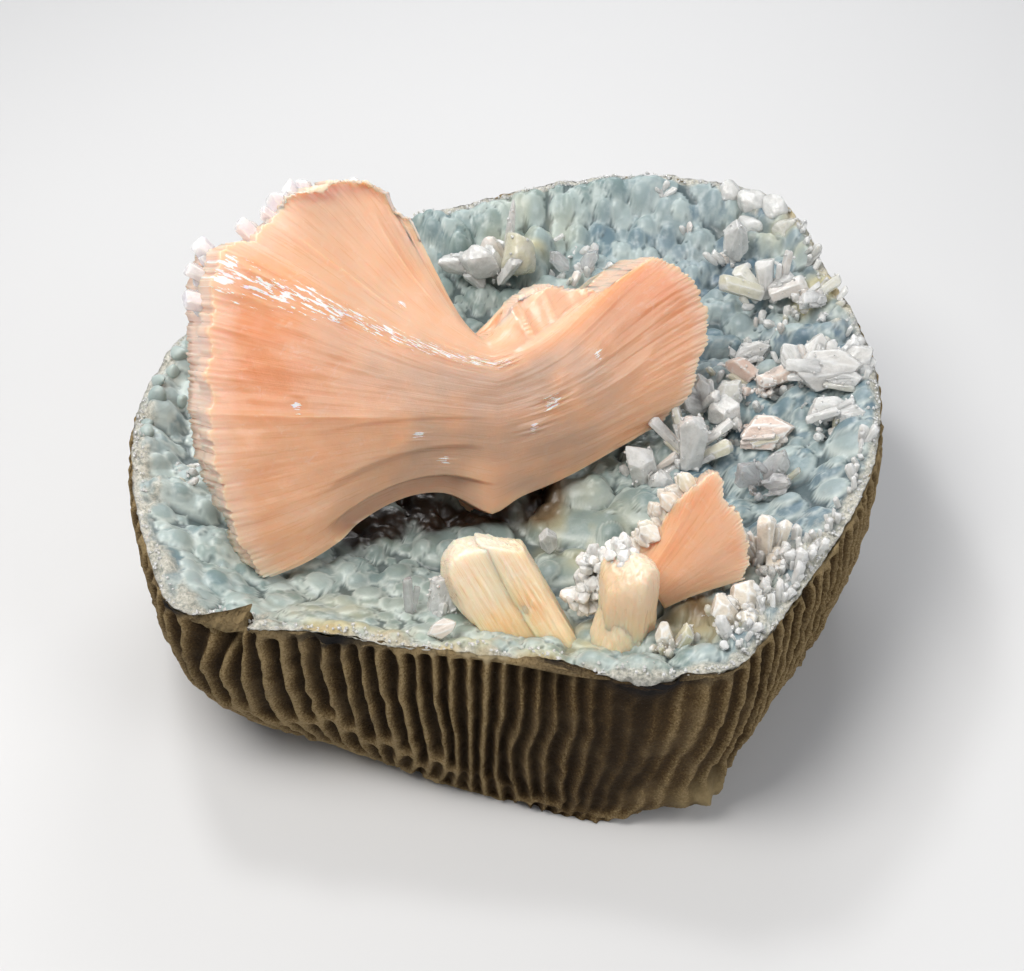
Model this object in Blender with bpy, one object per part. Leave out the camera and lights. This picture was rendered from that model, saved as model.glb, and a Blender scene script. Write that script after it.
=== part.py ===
"""Half a geode lined with pale blue chalcedony, with a large peach bow-tie crystal on it.

Everything below is designed in millimetres, +Z up, and made in metres. The origin is the middle of the
flat underside. +X is to the right and +Y away from the side that is usually shown.
"""
import math
import random

import bmesh
import bpy
from mathutils import Matrix, Vector
from mathutils.geometry import delaunay_2d_cdt

MM = 0.001

# Outline values are given every 15 degrees, from +X and anticlockwise seen from above
RIM_RADII = (65.5, 66.5, 68.5, 74.0, 68.0, 61.0, 55.0, 52.0, 52.0, 54.0, 56.5, 60.0,
             63.2, 65.3, 68.1, 71.7, 61.9, 59.1, 59.5, 65.5, 71.1, 66.1, 64.4, 64.7)
BASE_RADII = (54.0, 52.0, 52.0, 56.0, 52.0, 45.0, 39.0, 36.0, 36.0, 38.0, 40.0, 44.0,
              48.0, 54.0, 50.0, 45.0, 47.0, 50.0, 54.0, 61.0, 58.0, 52.0, 50.0, 52.0)
RIM_HEIGHT = 43.5
RIM_TILT = 4.0          # the back of the rim is this much higher, and the front this much lower
DISH_DEPTH = 13.0
DISH_POWER = 4.0        # how flat the bottom of the dish is

RIB_COUNT = 96
RIB_HEIGHT = 0.95       # of a flute's crest over the mean wall, and of its groove under it
WORN_ANGLE = 289.0      # the flutes are worn down round this compass angle
WORN_WIDTH = 13.0
WORN_SHARE = 0.75
WALL_ANGLES = (6.0, 26.0, 52.0, 90.0)
SPUR_ANGLE = 299.0      # the small pale ledge low on the front right
SPUR_WIDTH = 5.0
SPUR_HEIGHT = 5.5
SPUR_THICKNESS = 4.0
SPUR_REACH = 4.5

CRUST_EDGE = 2.5        # thickness of the lining at the rim
CRUST_MIDDLE = 4.0      # and in the middle of the dish
SEAT_GAP = 0.4          # between pieces that touch
INNER_RINGS = ((0.96, 48), (0.8, 24), (0.5, 12))

LUMP_SEED = 11
LUMP_TRIES = 5000
LUMP_SMALL = (3.0, 5.2)
LUMP_BROAD = (5.4, 7.4)
LUMP_RISE = 0.6         # height of a lump as a share of its radius
LUMP_SPACING = 0.78
LUMP_EDGE = 0.955       # no lump starts outside this share of the rim's radius
LUMP_FADE = 14          # how sharply the lumps end at the rim
BROAD_MIDDLE = (6.0, -26.0)     # the broad lumps lie round this place
BROAD_REACH = 20.0
POINT_SPACING = 2.7
POINT_EDGE = 0.965
LUMP_ROUNDS = ((0.7, 5), (1.04, 6))     # points on each lump: the share of its radius, and how many

# Long lumps that stand out of the lining: middle (x, y), radius, half length, compass and height
LONG_LUMPS = (
    (47.9, 43.4, 2.1, 2.2, -22, 3.6), (54.5, 18.8, 2.4, 4.6, -16, 3.6), (39.6, 31.0, 2.0, 2.0, -14, 2.8),
    (39.2, 21.6, 2.1, 2.4, -10, 2.8), (49.0, 49.0, 2.6, 2.0, -25, 2.8), (55.7, 41.0, 2.8, 2.4, -73, 3.2),
    (5.4, 43.0, 3.2, 2.6, 71, 5.0), (-12.0, 45.4, 3.4, 2.6, -21, 4.8), (-53.3, -21.2, 3.2, 2.6, -11, 3.4),
    (-59.0, -3.5, 3.2, 0.6, 0, 3.6), (-7.0, -21.8, 4.6, 4.5, 21, 3.0), (12.8, -18.6, 4.6, 4.6, -16, 3.2),
    (12.0, -28.4, 4.4, 3.0, 4, 2.6), (27.0, -16.1, 4.8, 4.6, -18, 2.8), (-14.0, -33.4, 4.6, 2.6, -14, 2.6),
    (12.6, -11.4, 3.6, 2.6, 0, 4.4),
)

# The plane that the bow-tie spreads in, and its middle
WAIST = Vector((-4.2, -8.4, 46.0))
ALONG = Vector((0.928, 0.297, -0.223)).normalized()
UPWARD = Vector((0.0, 0.6, 0.8))
FACING = ALONG.cross(UPWARD).normalized()

# Outer edges of the two fans as (along, up) in that plane, from the foot of each round to its top
LEFT_EDGE = ((-38.2, -26.2), (-42.4, -22.4), (-45.4, -15.2), (-48.4, -7.0), (-49.2, 1.0), (-47.4, 10.0),
             (-46.4, 17.0), (-44.2, 23.0), (-38.8, 27.0), (-32.2, 32.4), (-23.4, 36.2), (-16.4, 36.4),
             (-12.0, 31.4))
RIGHT_EDGE = ((31.6, -4.0), (36.0, 0.6), (39.0, 7.6), (39.6, 13.0), (37.8, 19.6), (33.8, 24.4),
              (29.8, 26.2), (25.8, 23.9), (22.7, 19.8), (17.2, 19.8), (12.4, 20.8), (6.4, 16.8))
WAIST_LINE = ((3.6, -17.1), (-0.3, 12.3))
BLADES = 22             # blades that each fan ends in
BLADE_STEP = 0.55       # each second blade stands this much further out
FAN_STEPS = (1.0, 0.9, 0.62, 0.3)
FAN_ARCH = 3.2          # how far the lower side of a fan arches up between the waist and the tip
FAN_BEVEL = 0.3         # how much thinner the very end of a fan is
WAIST_CROWDING = 1.8    # how closely the blades crowd to the upper end of the waist
LEAVE_SHARE = 0.42      # how far a blade runs straight out of the waist
LEAVE_FADE = 0.6        # and how much less the upper blades do
TIP_STEP = 1.2          # how far every second blade reaches out, as a share of BLADE_STEP
FACE_STEP = 0.7         # and how far it stands out of the face

# Half thickness to the front and to the back, against the place across the fan (0 its lower side)
LEFT_FRONT = ((0.0, 0.5), (0.1, 4.5), (0.3, 8.0), (0.58, 9.0), (0.8, 4.5), (1.0, -0.5))
LEFT_BACK = ((0.0, 3.0), (0.2, 7.5), (0.5, 9.5), (0.8, 8.0), (1.0, 4.0))
WAIST_FRONT = ((0.0, 1.5), (0.3, 7.0), (0.58, 8.0), (0.85, 4.5), (1.0, 0.5))
WAIST_BACK = ((0.0, 5.0), (0.3, 7.5), (0.7, 7.5), (1.0, 4.0))
RIGHT_FRONT = ((0.0, 1.5), (0.15, 5.0), (0.45, 7.0), (0.7, 4.5), (1.0, 0.5))
RIGHT_BACK = ((0.0, 3.0), (0.3, 7.0), (0.7, 6.5), (1.0, 3.0))


def rgb(name, colour, roughness):
    """A plain material with that colour and roughness."""
    material = bpy.data.materials.new(name)
    material.use_nodes = True
    shader = material.node_tree.nodes["Principled BSDF"]
    shader.inputs["Base Color"].default_value = (*colour, 1.0)
    shader.inputs["Roughness"].default_value = roughness
    shader.inputs["Metallic"].default_value = 0.0
    material.diffuse_color = (*colour, 1.0)
    return material


def new_collection(name):
    collection = bpy.data.collections.new(name)
    bpy.context.scene.collection.children.link(collection)
    return collection


def add_object(name, bm, material, collection, place=None):
    """An object of this bmesh, which is in millimetres, with its faces turned out."""
    bmesh.ops.triangulate(bm, faces=bm.faces)
    bmesh.ops.recalc_face_normals(bm, faces=bm.faces)
    bmesh.ops.scale(bm, vec=(MM, MM, MM), verts=bm.verts)
    mesh = bpy.data.meshes.new(name)
    bm.to_mesh(mesh)
    bm.free()
    mesh.materials.append(material)
    obj = bpy.data.objects.new(name, mesh)
    collection.objects.link(obj)
    if place is not None:
        obj.location = place.translation * MM
        obj.rotation_euler = place.to_euler()
    return obj


def as_helper(obj):
    obj.hide_render = True
    obj.display_type = "WIRE"
    return obj


# The outline of the geode

def around(values, angle):
    """A smooth closed curve through values that are evenly spaced round the circle."""
    count = len(values)
    place = (angle / math.tau * count) % count
    index = int(place)
    part = place - index
    a, b, c, d = (values[(index + step) % count] for step in (-1, 0, 1, 2))
    return b + 0.5 * part * (c - a + part * (2 * a - 5 * b + 4 * c - d + part * (3 * (b - c) + d - a)))


def rim_height(angle):
    return RIM_HEIGHT + RIM_TILT * math.sin(angle)


def rim_share(x, y):
    """Distance from the middle as a share of the rim's radius there, and the angle."""
    angle = math.atan2(y, x)
    return min(1.0, math.hypot(x, y) / around(RIM_RADII, angle)), angle


def dish_height(x, y):
    """The smooth hollow that the lining follows."""
    share, angle = rim_share(x, y)
    return rim_height(angle) - DISH_DEPTH * (1 - share ** DISH_POWER)


def lining_underside(x, y):
    share, _ = rim_share(x, y)
    return dish_height(x, y) - CRUST_EDGE - (CRUST_MIDDLE - CRUST_EDGE) * (1 - share ** DISH_POWER)


def ring(share, count):
    """Points at that share of the rim's radius."""
    points = []
    for step in range(count):
        angle = math.tau * step / count
        radius = share * around(RIM_RADII, angle)
        points.append((radius * math.cos(angle), radius * math.sin(angle)))
    return points


def patch(bm, rings, extra, height):
    """Covers the outline rings[0] with triangles through all the points, at height(x, y).

    Returns the vertices of the outline in order.
    """
    points = []
    edges = []
    for loop in rings:
        first = len(points)
        points += [Vector(point) for point in loop]
        edges += [(first + step, first + (step + 1) % len(loop)) for step in range(len(loop))]
    points += [Vector(point) for point in extra]
    outline = list(range(len(rings[0])))
    flat, _, faces, _, _, _ = delaunay_2d_cdt(points, edges, [outline], 1, 1e-6)
    verts = [bm.verts.new((point.x, point.y, height(point.x, point.y))) for point in flat]
    for face in faces:
        bm.faces.new([verts[index] for index in face])
    return [min(verts, key=lambda vert: math.dist(vert.co.xy, point)) for point in rings[0]]


def bridge(bm, upper, lower):
    """A band of quads between two loops of the same length."""
    count = len(upper)
    for step in range(count):
        after = (step + 1) % count
        bm.faces.new((upper[step], upper[after], lower[after], lower[step]))


# Host rock

def rib_strength(angle, depth):
    """How deep the flutes are there: none at the rim and the base, less on the worn front right corner."""
    degrees = math.degrees(angle) % 360
    worn = math.exp(-((degrees - WORN_ANGLE) / WORN_WIDTH) ** 2)
    return RIB_HEIGHT * (1 - WORN_SHARE * worn) * math.sin(math.pi * min(1.0, 1.25 * depth + 0.12)) ** 0.5


def spur(angle, height):
    """How far the pale ledge stands out of the wall."""
    across = ((math.degrees(angle) % 360 - SPUR_ANGLE) / SPUR_WIDTH) ** 2
    upward = ((height - SPUR_HEIGHT) / SPUR_THICKNESS) ** 2
    return SPUR_REACH * math.exp(-across - upward)


def wall_loop(bm, lift, columns):
    """One loop of the wall, where lift runs from 0 degrees at the rim to 90 at the base."""
    turn = math.radians(lift)
    loop = []
    for step in range(columns):
        angle = math.tau * step / columns
        outer = around(RIM_RADII, angle)
        base = around(BASE_RADII, angle)
        top = rim_height(angle) - CRUST_EDGE - SEAT_GAP
        height = top * (1 - math.sin(turn))
        radius = base + (outer - base) * math.cos(turn) + spur(angle, height)
        if lift < 90:
            crest = 1 if step % 2 else -1
            radius += crest * rib_strength(angle, lift / 90.0)
        loop.append(bm.verts.new((radius * math.cos(angle), radius * math.sin(angle), height)))
    return loop


def host_rock(material, collection):
    bm = bmesh.new()
    columns = 2 * RIB_COUNT
    rings = [ring(1.0, columns)] + [ring(share, count) for share, count in INNER_RINGS]
    above = patch(bm, rings, [(0.0, 0.0)], lambda x, y: lining_underside(x, y) - SEAT_GAP)
    for lift in WALL_ANGLES:
        below = wall_loop(bm, lift, columns)
        bridge(bm, above, below)
        above = below
    bm.faces.new(above)
    return add_object("host_rock", bm, material, collection)


# Chalcedony lining

def off_axis(lump, x, y):
    """Distance of a point from the middle line of a lump."""
    a, b, _, half, compass, _ = lump
    dx, dy = x - a, y - b
    along = max(-half, min(half, dx * math.cos(compass) + dy * math.sin(compass)))
    return math.hypot(dx - along * math.cos(compass), dy - along * math.sin(compass))


def scatter_lumps():
    """All lumps as (x, y, radius, half length, compass, height): the long ones, then round ones."""
    draw = random.Random(LUMP_SEED)
    lumps = []
    for x, y, size, half, compass, rise in LONG_LUMPS:
        lumps.append((x, y, size, half, math.radians(compass), rise))
    for _ in range(LUMP_TRIES):
        angle = draw.uniform(0, math.tau)
        share = math.sqrt(draw.random()) * LUMP_EDGE
        radius = share * around(RIM_RADII, angle)
        x, y = radius * math.cos(angle), radius * math.sin(angle)
        broad = math.dist((x, y), BROAD_MIDDLE) < BROAD_REACH
        size = draw.uniform(*(LUMP_BROAD if broad else LUMP_SMALL))
        if all(off_axis(lump, x, y) > LUMP_SPACING * (size + lump[2]) for lump in lumps):
            lumps.append((x, y, size, 0.0, 0.0, LUMP_RISE * size))
    return lumps


def lining_height(lumps):
    """The height of the lumpy surface, as a function of x and y."""
    def height(x, y):
        share, _ = rim_share(x, y)
        best = 0.0
        for lump in lumps:
            gap = off_axis(lump, x, y) / lump[2]
            if gap < 1:
                best = max(best, lump[5] * math.sqrt(1 - gap * gap))
        return dish_height(x, y) + best * (1 - share ** LUMP_FADE)
    return height


def lining_points(lumps):
    """Points on the middle, the shoulder and the foot of each lump, none closer than POINT_SPACING."""
    middles = []
    for x, y, size, half, compass, _ in lumps:
        steps = (0,) if half < 1 else (-1, 0, 1)
        middles += [(x + step * half * math.cos(compass), y + step * half * math.sin(compass), size)
                    for step in steps]
    wanted = [(x, y) for x, y, _ in middles]
    for share, count in LUMP_ROUNDS:
        for index, (x, y, size) in enumerate(middles):
            for step in range(count):
                angle = math.tau * (step + index * 0.37) / count
                wanted.append((x + share * size * math.cos(angle), y + share * size * math.sin(angle)))
    kept = []
    cells = {}
    for x, y in wanted:
        cell = (int(x // POINT_SPACING), int(y // POINT_SPACING))
        near = [point for i in (-1, 0, 1) for j in (-1, 0, 1)
                for point in cells.get((cell[0] + i, cell[1] + j), ())]
        close = any(math.hypot(x - a, y - b) < POINT_SPACING for a, b in near)
        if rim_share(x, y)[0] < POINT_EDGE and not close:
            kept.append((x, y))
            cells.setdefault(cell, []).append((x, y))
    return kept


def lining(name, rings_below, raised, under, material, collection, lumps):
    """The lumpy surface, raised by that much, closed below by the surface under(x, y)."""
    bm = bmesh.new()
    rim = ring(1.0, RIB_COUNT)
    height = lining_height(lumps)
    top = patch(bm, [rim], lining_points(lumps), lambda x, y: height(x, y) + raised)
    bottom = patch(bm, [rim] + rings_below, [(0.0, 0.0)], under)
    bridge(bm, top, bottom)
    return add_object(name, bm, material, collection)


# Bow-tie crystal

def along_edge(edge, share):
    """The point at that share of an open outline's length."""
    points = [Vector(point) for point in edge]
    lengths = [(b - a).length for a, b in zip(points, points[1:])]
    left = share * sum(lengths)
    for start, end, length in zip(points, points[1:], lengths):
        if left <= length:
            return start.lerp(end, left / length)
        left -= length
    return points[-1]


def from_table(table, place):
    for (a, low), (b, high) in zip(table, table[1:]):
        if place <= b:
            return low + (high - low) * (place - a) / (b - a)
    return table[-1][1]


def fan_line(edge, across, reach, side):
    """Where the blade at `across` of a fan is, from the waist (reach 0) to its tip (reach 1)."""
    low, high = Vector(WAIST_LINE[0]), Vector(WAIST_LINE[1])
    start = low.lerp(high, 1 - (1 - across) ** WAIST_CROWDING)
    end = along_edge(edge, across)
    length = (end - start).length
    leave = start + Vector((side * LEAVE_SHARE * length * (1 - LEAVE_FADE * across), 0.0))
    middle = start.lerp(end, 0.6)
    leave = leave.lerp(middle, 0.2)
    left = 1 - reach
    curve = start * left ** 3 + leave * (3 * reach * left ** 2)
    curve += middle * (3 * reach ** 2 * left) + end * reach ** 3
    arch = FAN_ARCH * 4 * reach * left * (1 - across) ** 4
    return curve + Vector((0.0, arch))


def fan_point(side, across, reach, tables, face, blade):
    """A point on the front (face 1) or back (face -1) of a fan."""
    edge = LEFT_EDGE if side < 0 else RIGHT_EDGE
    flat = fan_line(edge, across, reach, side)
    waist_table, edge_table = tables
    blend = reach * reach * (3 - 2 * reach)
    thick = from_table(waist_table, across) * (1 - blend) + from_table(edge_table, across) * blend
    thick *= 1 - FAN_BEVEL * max(0.0, (reach - FAN_STEPS[1]) / (1 - FAN_STEPS[1]))
    rough = BLADE_STEP * reach * (1 if blade % 2 else -1)
    spread = (flat - Vector(WAIST_LINE[0]).lerp(Vector(WAIST_LINE[1]), 0.5)).normalized()
    flat = flat + spread * rough * TIP_STEP
    return WAIST + ALONG * flat.x + UPWARD * flat.y + FACING * face * (thick + rough * FACE_STEP)


def bow_tie_loop(bm, side, reach):
    """A loop of the body: up the front from the lower side, and down the back."""
    fronts = (WAIST_FRONT, LEFT_FRONT if side < 0 else RIGHT_FRONT)
    backs = (WAIST_BACK, LEFT_BACK if side < 0 else RIGHT_BACK)
    points = [fan_point(side, blade / BLADES, reach, fronts, 1, blade) for blade in range(BLADES + 1)]
    points += [fan_point(side, blade / BLADES, reach, backs, -1, blade) for blade in range(BLADES, -1, -1)]
    return [bm.verts.new(point) for point in points]


def close_end(bm, loop):
    """Closes the long thin end of a fan with a strip between its front and its back."""
    last = len(loop) - 1
    for step in range(BLADES):
        bm.faces.new((loop[step], loop[step + 1], loop[last - step - 1], loop[last - step]))


def bow_tie_body(material, collection):
    bm = bmesh.new()
    stations = [(-1, reach) for reach in FAN_STEPS] + [(-1, 0.0)] + [(1, reach) for reach in FAN_STEPS[::-1]]
    loops = [bow_tie_loop(bm, side, reach) for side, reach in stations]
    for before, after in zip(loops, loops[1:]):
        bridge(bm, before, after)
    close_end(bm, loops[0])
    close_end(bm, loops[-1])
    return add_object("bow_tie_crystal", bm, material, collection)


# Small crystals

def lean_frame(foot, compass, lean, spin):
    """A place at foot whose +Z leans by `lean` degrees towards `compass`, turned by `spin` about itself."""
    turn = Matrix.Rotation(math.radians(compass), 4, "Z") @ Matrix.Rotation(math.radians(lean), 4, "Y")
    return Matrix.Translation(foot) @ turn @ Matrix.Rotation(math.radians(spin), 4, "Z")


def crystal_mesh(length, width, thick, tip, sides=6, foot=0.8, top=0.35):
    """A flattened prism on its foot along +Z, ending in a chisel that is `tip` long."""
    bm = bmesh.new()
    shoulder = length - tip
    bmesh.ops.create_cone(bm, cap_ends=True, segments=sides, radius1=foot * width / 2, radius2=width / 2,
                          depth=shoulder)
    bmesh.ops.translate(bm, vec=(0, 0, shoulder / 2), verts=bm.verts)
    cap = max(bm.faces, key=lambda face: face.calc_center_median().z)
    cap = bmesh.ops.extrude_discrete_faces(bm, faces=[cap])["faces"][0]
    bmesh.ops.translate(bm, vec=(0, 0, tip), verts=cap.verts)
    bmesh.ops.scale(bm, vec=(top, top, 1), verts=cap.verts)
    bmesh.ops.scale(bm, vec=(1, thick / width, 1), verts=bm.verts)
    return bm


def root_mesh(radius, rise):
    """The low knob that a group of crystals grows from: a cone that is two thirds under the surface."""
    bm = bmesh.new()
    bmesh.ops.create_cone(bm, cap_ends=True, segments=6, radius1=1.3 * radius, radius2=0, depth=3 * rise)
    bmesh.ops.translate(bm, vec=(0, 0, -0.5 * rise), verts=bm.verts)
    return bm


def fuse(obj, others, seat):
    """Joins the others to obj, and rests the result on the lining, clear of it by the seat's gap."""
    for other in others:
        joined = obj.modifiers.new("join_" + other.name, "BOOLEAN")
        joined.operation = "UNION"
        joined.object = as_helper(other)
    cut = obj.modifiers.new("seat", "BOOLEAN")
    cut.operation = "DIFFERENCE"
    cut.object = seat
    return obj


# Groups of small crystals: foot (x, y), radius and rise of the knob they grow from, then each crystal as
# (dx, dy from the foot, compass it leans to, lean, spin, length, width, thickness, tip)
GROUPS = {
    "lozenge_crystal": ((43.0, 41.0), (1.6, 1.2), "clear", (
        (0, 0, 200, 4, 0, 12.5, 6.4, 2.2, 5.0),)),
    "back_right_cluster": ((47.5, 29.5), (3.0, 2.0), "clear", (
        (-1.0, 0, 190, 64, 90, 10.0, 4.6, 2.4, 2.0), (0.5, 0.5, 95, 18, 10, 9.5, 3.6, 1.6, 2.2),
        (0.5, -0.5, 10, 58, 80, 9.0, 5.0, 2.4, 2.0), (1.0, 0.5, 35, 32, 30, 9.5, 3.2, 1.6, 2.2),
        (-0.5, 0.5, 150, 42, 60, 8.0, 4.2, 1.8, 2.0))),
    "rim_blade": ((57.0, 25.0), (1.6, 1.4), "clear", (
        (0, 0, 50, 66, 85, 9.0, 4.6, 2.2, 2.0), (0, 0, 230, 62, 85, 6.5, 4.6, 2.2, 2.0))),
    "rim_leaf_cluster": ((56.5, 6.5), (3.2, 1.8), "clear", (
        (-0.5, -0.5, 185, 58, 0, 9.5, 8.0, 2.6, 4.5), (0.5, -0.5, 350, 50, 10, 8.0, 8.0, 2.6, 4.0),
        (0.5, 0.5, 75, 35, 20, 8.0, 6.0, 2.4, 2.5), (-0.5, 0.5, 130, 45, 60, 7.0, 5.0, 2.0, 2.0))),
    "thin_leaf": ((44.0, 17.5), (1.4, 1.0), "clear", (
        (0, 0, 180, 60, 8, 5.5, 4.4, 1.6, 2.6), (0, 0, 10, 58, 8, 4.5, 4.2, 1.6, 2.4))),
    "blush_tablets": ((46.0, 11.0), (2.0, 1.4), "blush", (
        (-0.5, 0, 185, 52, 0, 6.0, 6.0, 2.6, 1.6), (0.5, 0, 350, 52, 20, 6.5, 5.4, 2.2, 1.8),
        (0, 0, 270, 50, 60, 5.0, 4.2, 1.8, 1.4))),
    "middle_cluster": ((36.5, 4.0), (2.4, 1.8), "clear", (
        (0, 0, 100, 20, 10, 8.0, 4.6, 2.0, 2.0), (0, -0.5, 300, 30, 80, 7.5, 6.4, 3.2, 2.0),
        (-0.5, 0, 200, 45, 40, 7.0, 4.0, 1.8, 1.8), (0.5, 0.5, 30, 35, 60, 7.0, 4.4, 1.8, 1.8))),
    "blush_lens": ((45.5, -4.0), (2.2, 1.6), "blush", (
        (-0.5, 0, 184, 64, 0, 6.0, 6.6, 3.2, 3.0), (0.5, 0, 4, 58, 0, 6.0, 6.6, 3.2, 3.0))),
    "coated_tablets": ((56.5, -3.0), (2.2, 1.4), "clear", (
        (0, 0, 180, 64, 0, 6.0, 6.0, 2.6, 2.4), (0, 0, 0, 56, 0, 5.5, 5.6, 2.6, 2.2))),
    "white_block_cluster": ((24.8, -8.2), (2.0, 1.6), "clear", (
        (-0.3, 0, 190, 24, 20, 7.0, 5.4, 4.0, 1.2), (0.5, -0.5, 320, 40, 50, 5.4, 4.8, 3.6, 1.2),
        (0.5, 0.5, 40, 45, 0, 6.0, 4.0, 2.6, 1.4))),
    "column_cluster": ((32.0, -7.5), (2.2, 1.8), "clear", (
        (0, 0, 90, 6, 15, 10.0, 5.8, 4.8, 1.0), (0.3, 0.5, 140, 36, 0, 10.5, 3.2, 1.8, 2.4),
        (0, 0.5, 40, 42, 30, 10.5, 3.2, 1.8, 2.4), (0, 0.5, 170, 50, 80, 8.0, 3.4, 1.8, 2.2),
        (0.5, 0, 10, 55, 90, 7.0, 3.6, 1.8, 2.0))),
    "small_leaf_cluster": ((44.0, -14.5), (1.8, 1.4), "clear", (
        (0, 0, 200, 46, 0, 6.0, 6.0, 2.2, 2.6), (0, 0, 30, 42, 20, 6.5, 5.6, 2.0, 2.6))),
    "side_spray": ((43.0, -32.5), (2.4, 2.0), "clear", (
        (0, 0, 110, 14, 0, 10.5, 4.6, 2.2, 2.4), (-0.5, 0, 150, 34, 30, 8.5, 4.2, 2.0, 2.4),
        (0.5, 0, 60, 34, 60, 9.0, 4.2, 2.0, 2.2), (0.5, 0, 20, 54, 20, 7.5, 4.8, 2.2, 2.0))),
    "corner_cluster": ((38.0, -47.0), (2.2, 1.8), "blush", (
        (0, 0, 200, 38, 0, 6.0, 5.6, 4.2, 1.2), (0.5, 0.5, 60, 40, 40, 6.5, 5.6, 4.0, 1.2),
        (0.5, -0.5, 310, 45, 20, 5.0, 4.4, 3.2, 1.0))),
    "corner_nub": ((28.0, -50.4), (1.4, 1.4), "blush", (
        (-0.4, 0, 170, 28, 0, 5.2, 4.2, 3.2, 1.0), (0.5, 0, 20, 34, 30, 5.2, 4.0, 3.0, 1.0))),
    "back_left_cluster": ((-2.0, 38.5), (3.4, 2.2), "clear", (
        (0, 0, 200, 30, 20, 8.5, 6.4, 4.4, 1.8), (1.0, 0.5, 60, 26, 50, 13.0, 3.6, 2.2, 2.4),
        (-1.0, 0, 170, 56, 0, 8.5, 5.6, 3.6, 1.6), (1.5, -0.5, 0, 36, 20, 8.5, 7.0, 5.2, 1.6))),
    "back_spray": ((13.0, 40.0), (1.8, 1.4), "clear", (
        (0, 0, 160, 38, 0, 6.5, 4.0, 2.0, 1.8), (0, 0, 30, 38, 40, 6.5, 4.0, 2.0, 1.8))),
    "front_needles": ((-15.8, -39.0), (1.2, 1.0), "clear", (
        (0, 0, 95, 20, 0, 7.0, 3.2, 1.6, 1.8), (0, 0, 265, 60, 0, 4.5, 2.6, 1.4, 1.2))),
    "front_leaf": ((-9.5, -49.0), (1.2, 0.9), "clear", (
        (0, 0, 25, 62, 80, 5.5, 3.4, 1.6, 1.4),)),
    "front_wedge": ((7.6, -24.0), (1.0, 0.9), "clear", (
        (0, 0, 140, 8, 0, 5.4, 4.0, 2.0, 2.6),)),
}
ROOT_SINK = 1.0         # how far a crystal's foot is under the lumps' tops


def crystal_group(name, materials, collection, helpers, seat, height):
    """One of GROUPS, which stands on the highest place under its knob."""
    (x, y), (radius, rise), colour, crystals = GROUPS[name]
    turns = [math.radians(60 * step) for step in range(6)]
    near = [(x + 0.8 * radius * math.cos(turn), y + 0.8 * radius * math.sin(turn)) for turn in turns]
    base = max(height(a, b) for a, b in near + [(x, y)])
    knob = Matrix.Translation((x, y, base))
    obj = add_object(name, root_mesh(radius, rise), materials[colour], collection, knob)
    others = []
    for number, (dx, dy, compass, lean, spin, length, width, thick, tip) in enumerate(crystals, 1):
        turn = math.radians(lean)
        start = base + 0.55 * rise * math.sin(turn) - ROOT_SINK * math.cos(turn)
        foot = lean_frame((x + dx, y + dy, start), compass, lean, spin)
        bm = crystal_mesh(length + ROOT_SINK * math.cos(turn), width, thick, tip, 4, top=0.22)
        others.append(add_object(f"{name}_{number}", bm, materials[colour], helpers, foot))
    return fuse(obj, others, seat)


# Large crystals at the front

BLOCK_FOOT = (7.0, -47.2, 29.0)


def block_crystal(materials, collection, helpers, seat):
    """The stout block that leans to the upper left, with a paler block and a white wedge beside it."""
    foot = Vector(BLOCK_FOOT)
    obj = add_object("block_crystal", crystal_mesh(23.0, 14.0, 10.0, 3.0, 8, 0.82, 0.62),
                     materials["peach"], collection, lean_frame(foot, 146, 45, 120))
    beside = lean_frame(foot + Vector((-5.5, 2.6, 0)), 150, 34, 120)
    wedge = lean_frame(foot + Vector((-12.0, 5.5, 0.5)), 100, 16, 60)
    side_mesh = crystal_mesh(18.5, 9.0, 8.0, 2.0, 8, 0.8, 0.7)
    wedge_mesh = crystal_mesh(11.5, 5.2, 3.0, 3.0)
    others = [add_object("block_side", side_mesh, materials["peach"], helpers, beside),
              add_object("block_wedge", wedge_mesh, materials["clear"], helpers, wedge)]
    return fuse(obj, others, seat)


FAN_FOOT = Vector((24.0, -41.5, 29.0))
FAN_WAIST = ((-3.4, -1.0), (-3.2, 4.5))
FAN_EDGE = ((11.6, 3.0), (14.2, 7.6), (13.6, 12.0), (12.3, 16.5), (9.9, 20.8), (7.2, 23.6), (3.0, 21.2),
            (-0.6, 18.0))
FAN_PLANE = (Vector((1, 0, 0)), Vector((0, 0.6, 0.8)), Vector((0, -0.8, 0.6)))
FAN_BLADES = 10
FAN_STATIONS = (0.0, 0.45, 0.9, 1.0)
FAN_NOTCH = 0.96        # how far every second blade of it reaches
FAN_HALF = ((0.0, 1.0), (0.25, 3.4), (0.6, 3.8), (1.0, 1.0))

# What grows on it: foot, compass it leans to, lean, spin, then length, width, thickness, tip, sides, and
# how wide it is at the foot and at the top
FAN_PIECES = {
    "fan_column": ((19.2, -49.6, 28.0), (90, 12, 20), (18.5, 9.4, 8.4, 2.0, 8, 1.0, 0.7)),
    "fan_lap": ((20.6, -45.4, 28.0), (80, 14, 0), (14.0, 9.0, 9.0, 2.0, 6, 1.1, 0.7)),
    "fan_column_foot": ((17.6, -49.8, 28.5), (170, 10, 0), (8.5, 11.0, 8.0, 2.5, 6, 0.8, 0.35)),
    "fan_coat_1": ((16.8, -41.5, 28.5), (190, 12, 10), (9.5, 7.0, 6.0, 2.0, 6, 0.8, 0.35)),
    "fan_coat_2": ((15.8, -40.5, 28.5), (215, 40, 40), (8.5, 5.0, 3.0, 2.0, 4, 0.8, 0.35)),
    "fan_coat_3": ((21.6, -37.2, 34.0), (80, 26, 30), (10.0, 5.6, 4.6, 2.0, 4, 0.8, 0.35)),
    "fan_coat_4": ((23.6, -33.5, 39.0), (70, 24, 60), (9.0, 5.0, 4.4, 2.0, 4, 0.8, 0.35)),
}


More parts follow.
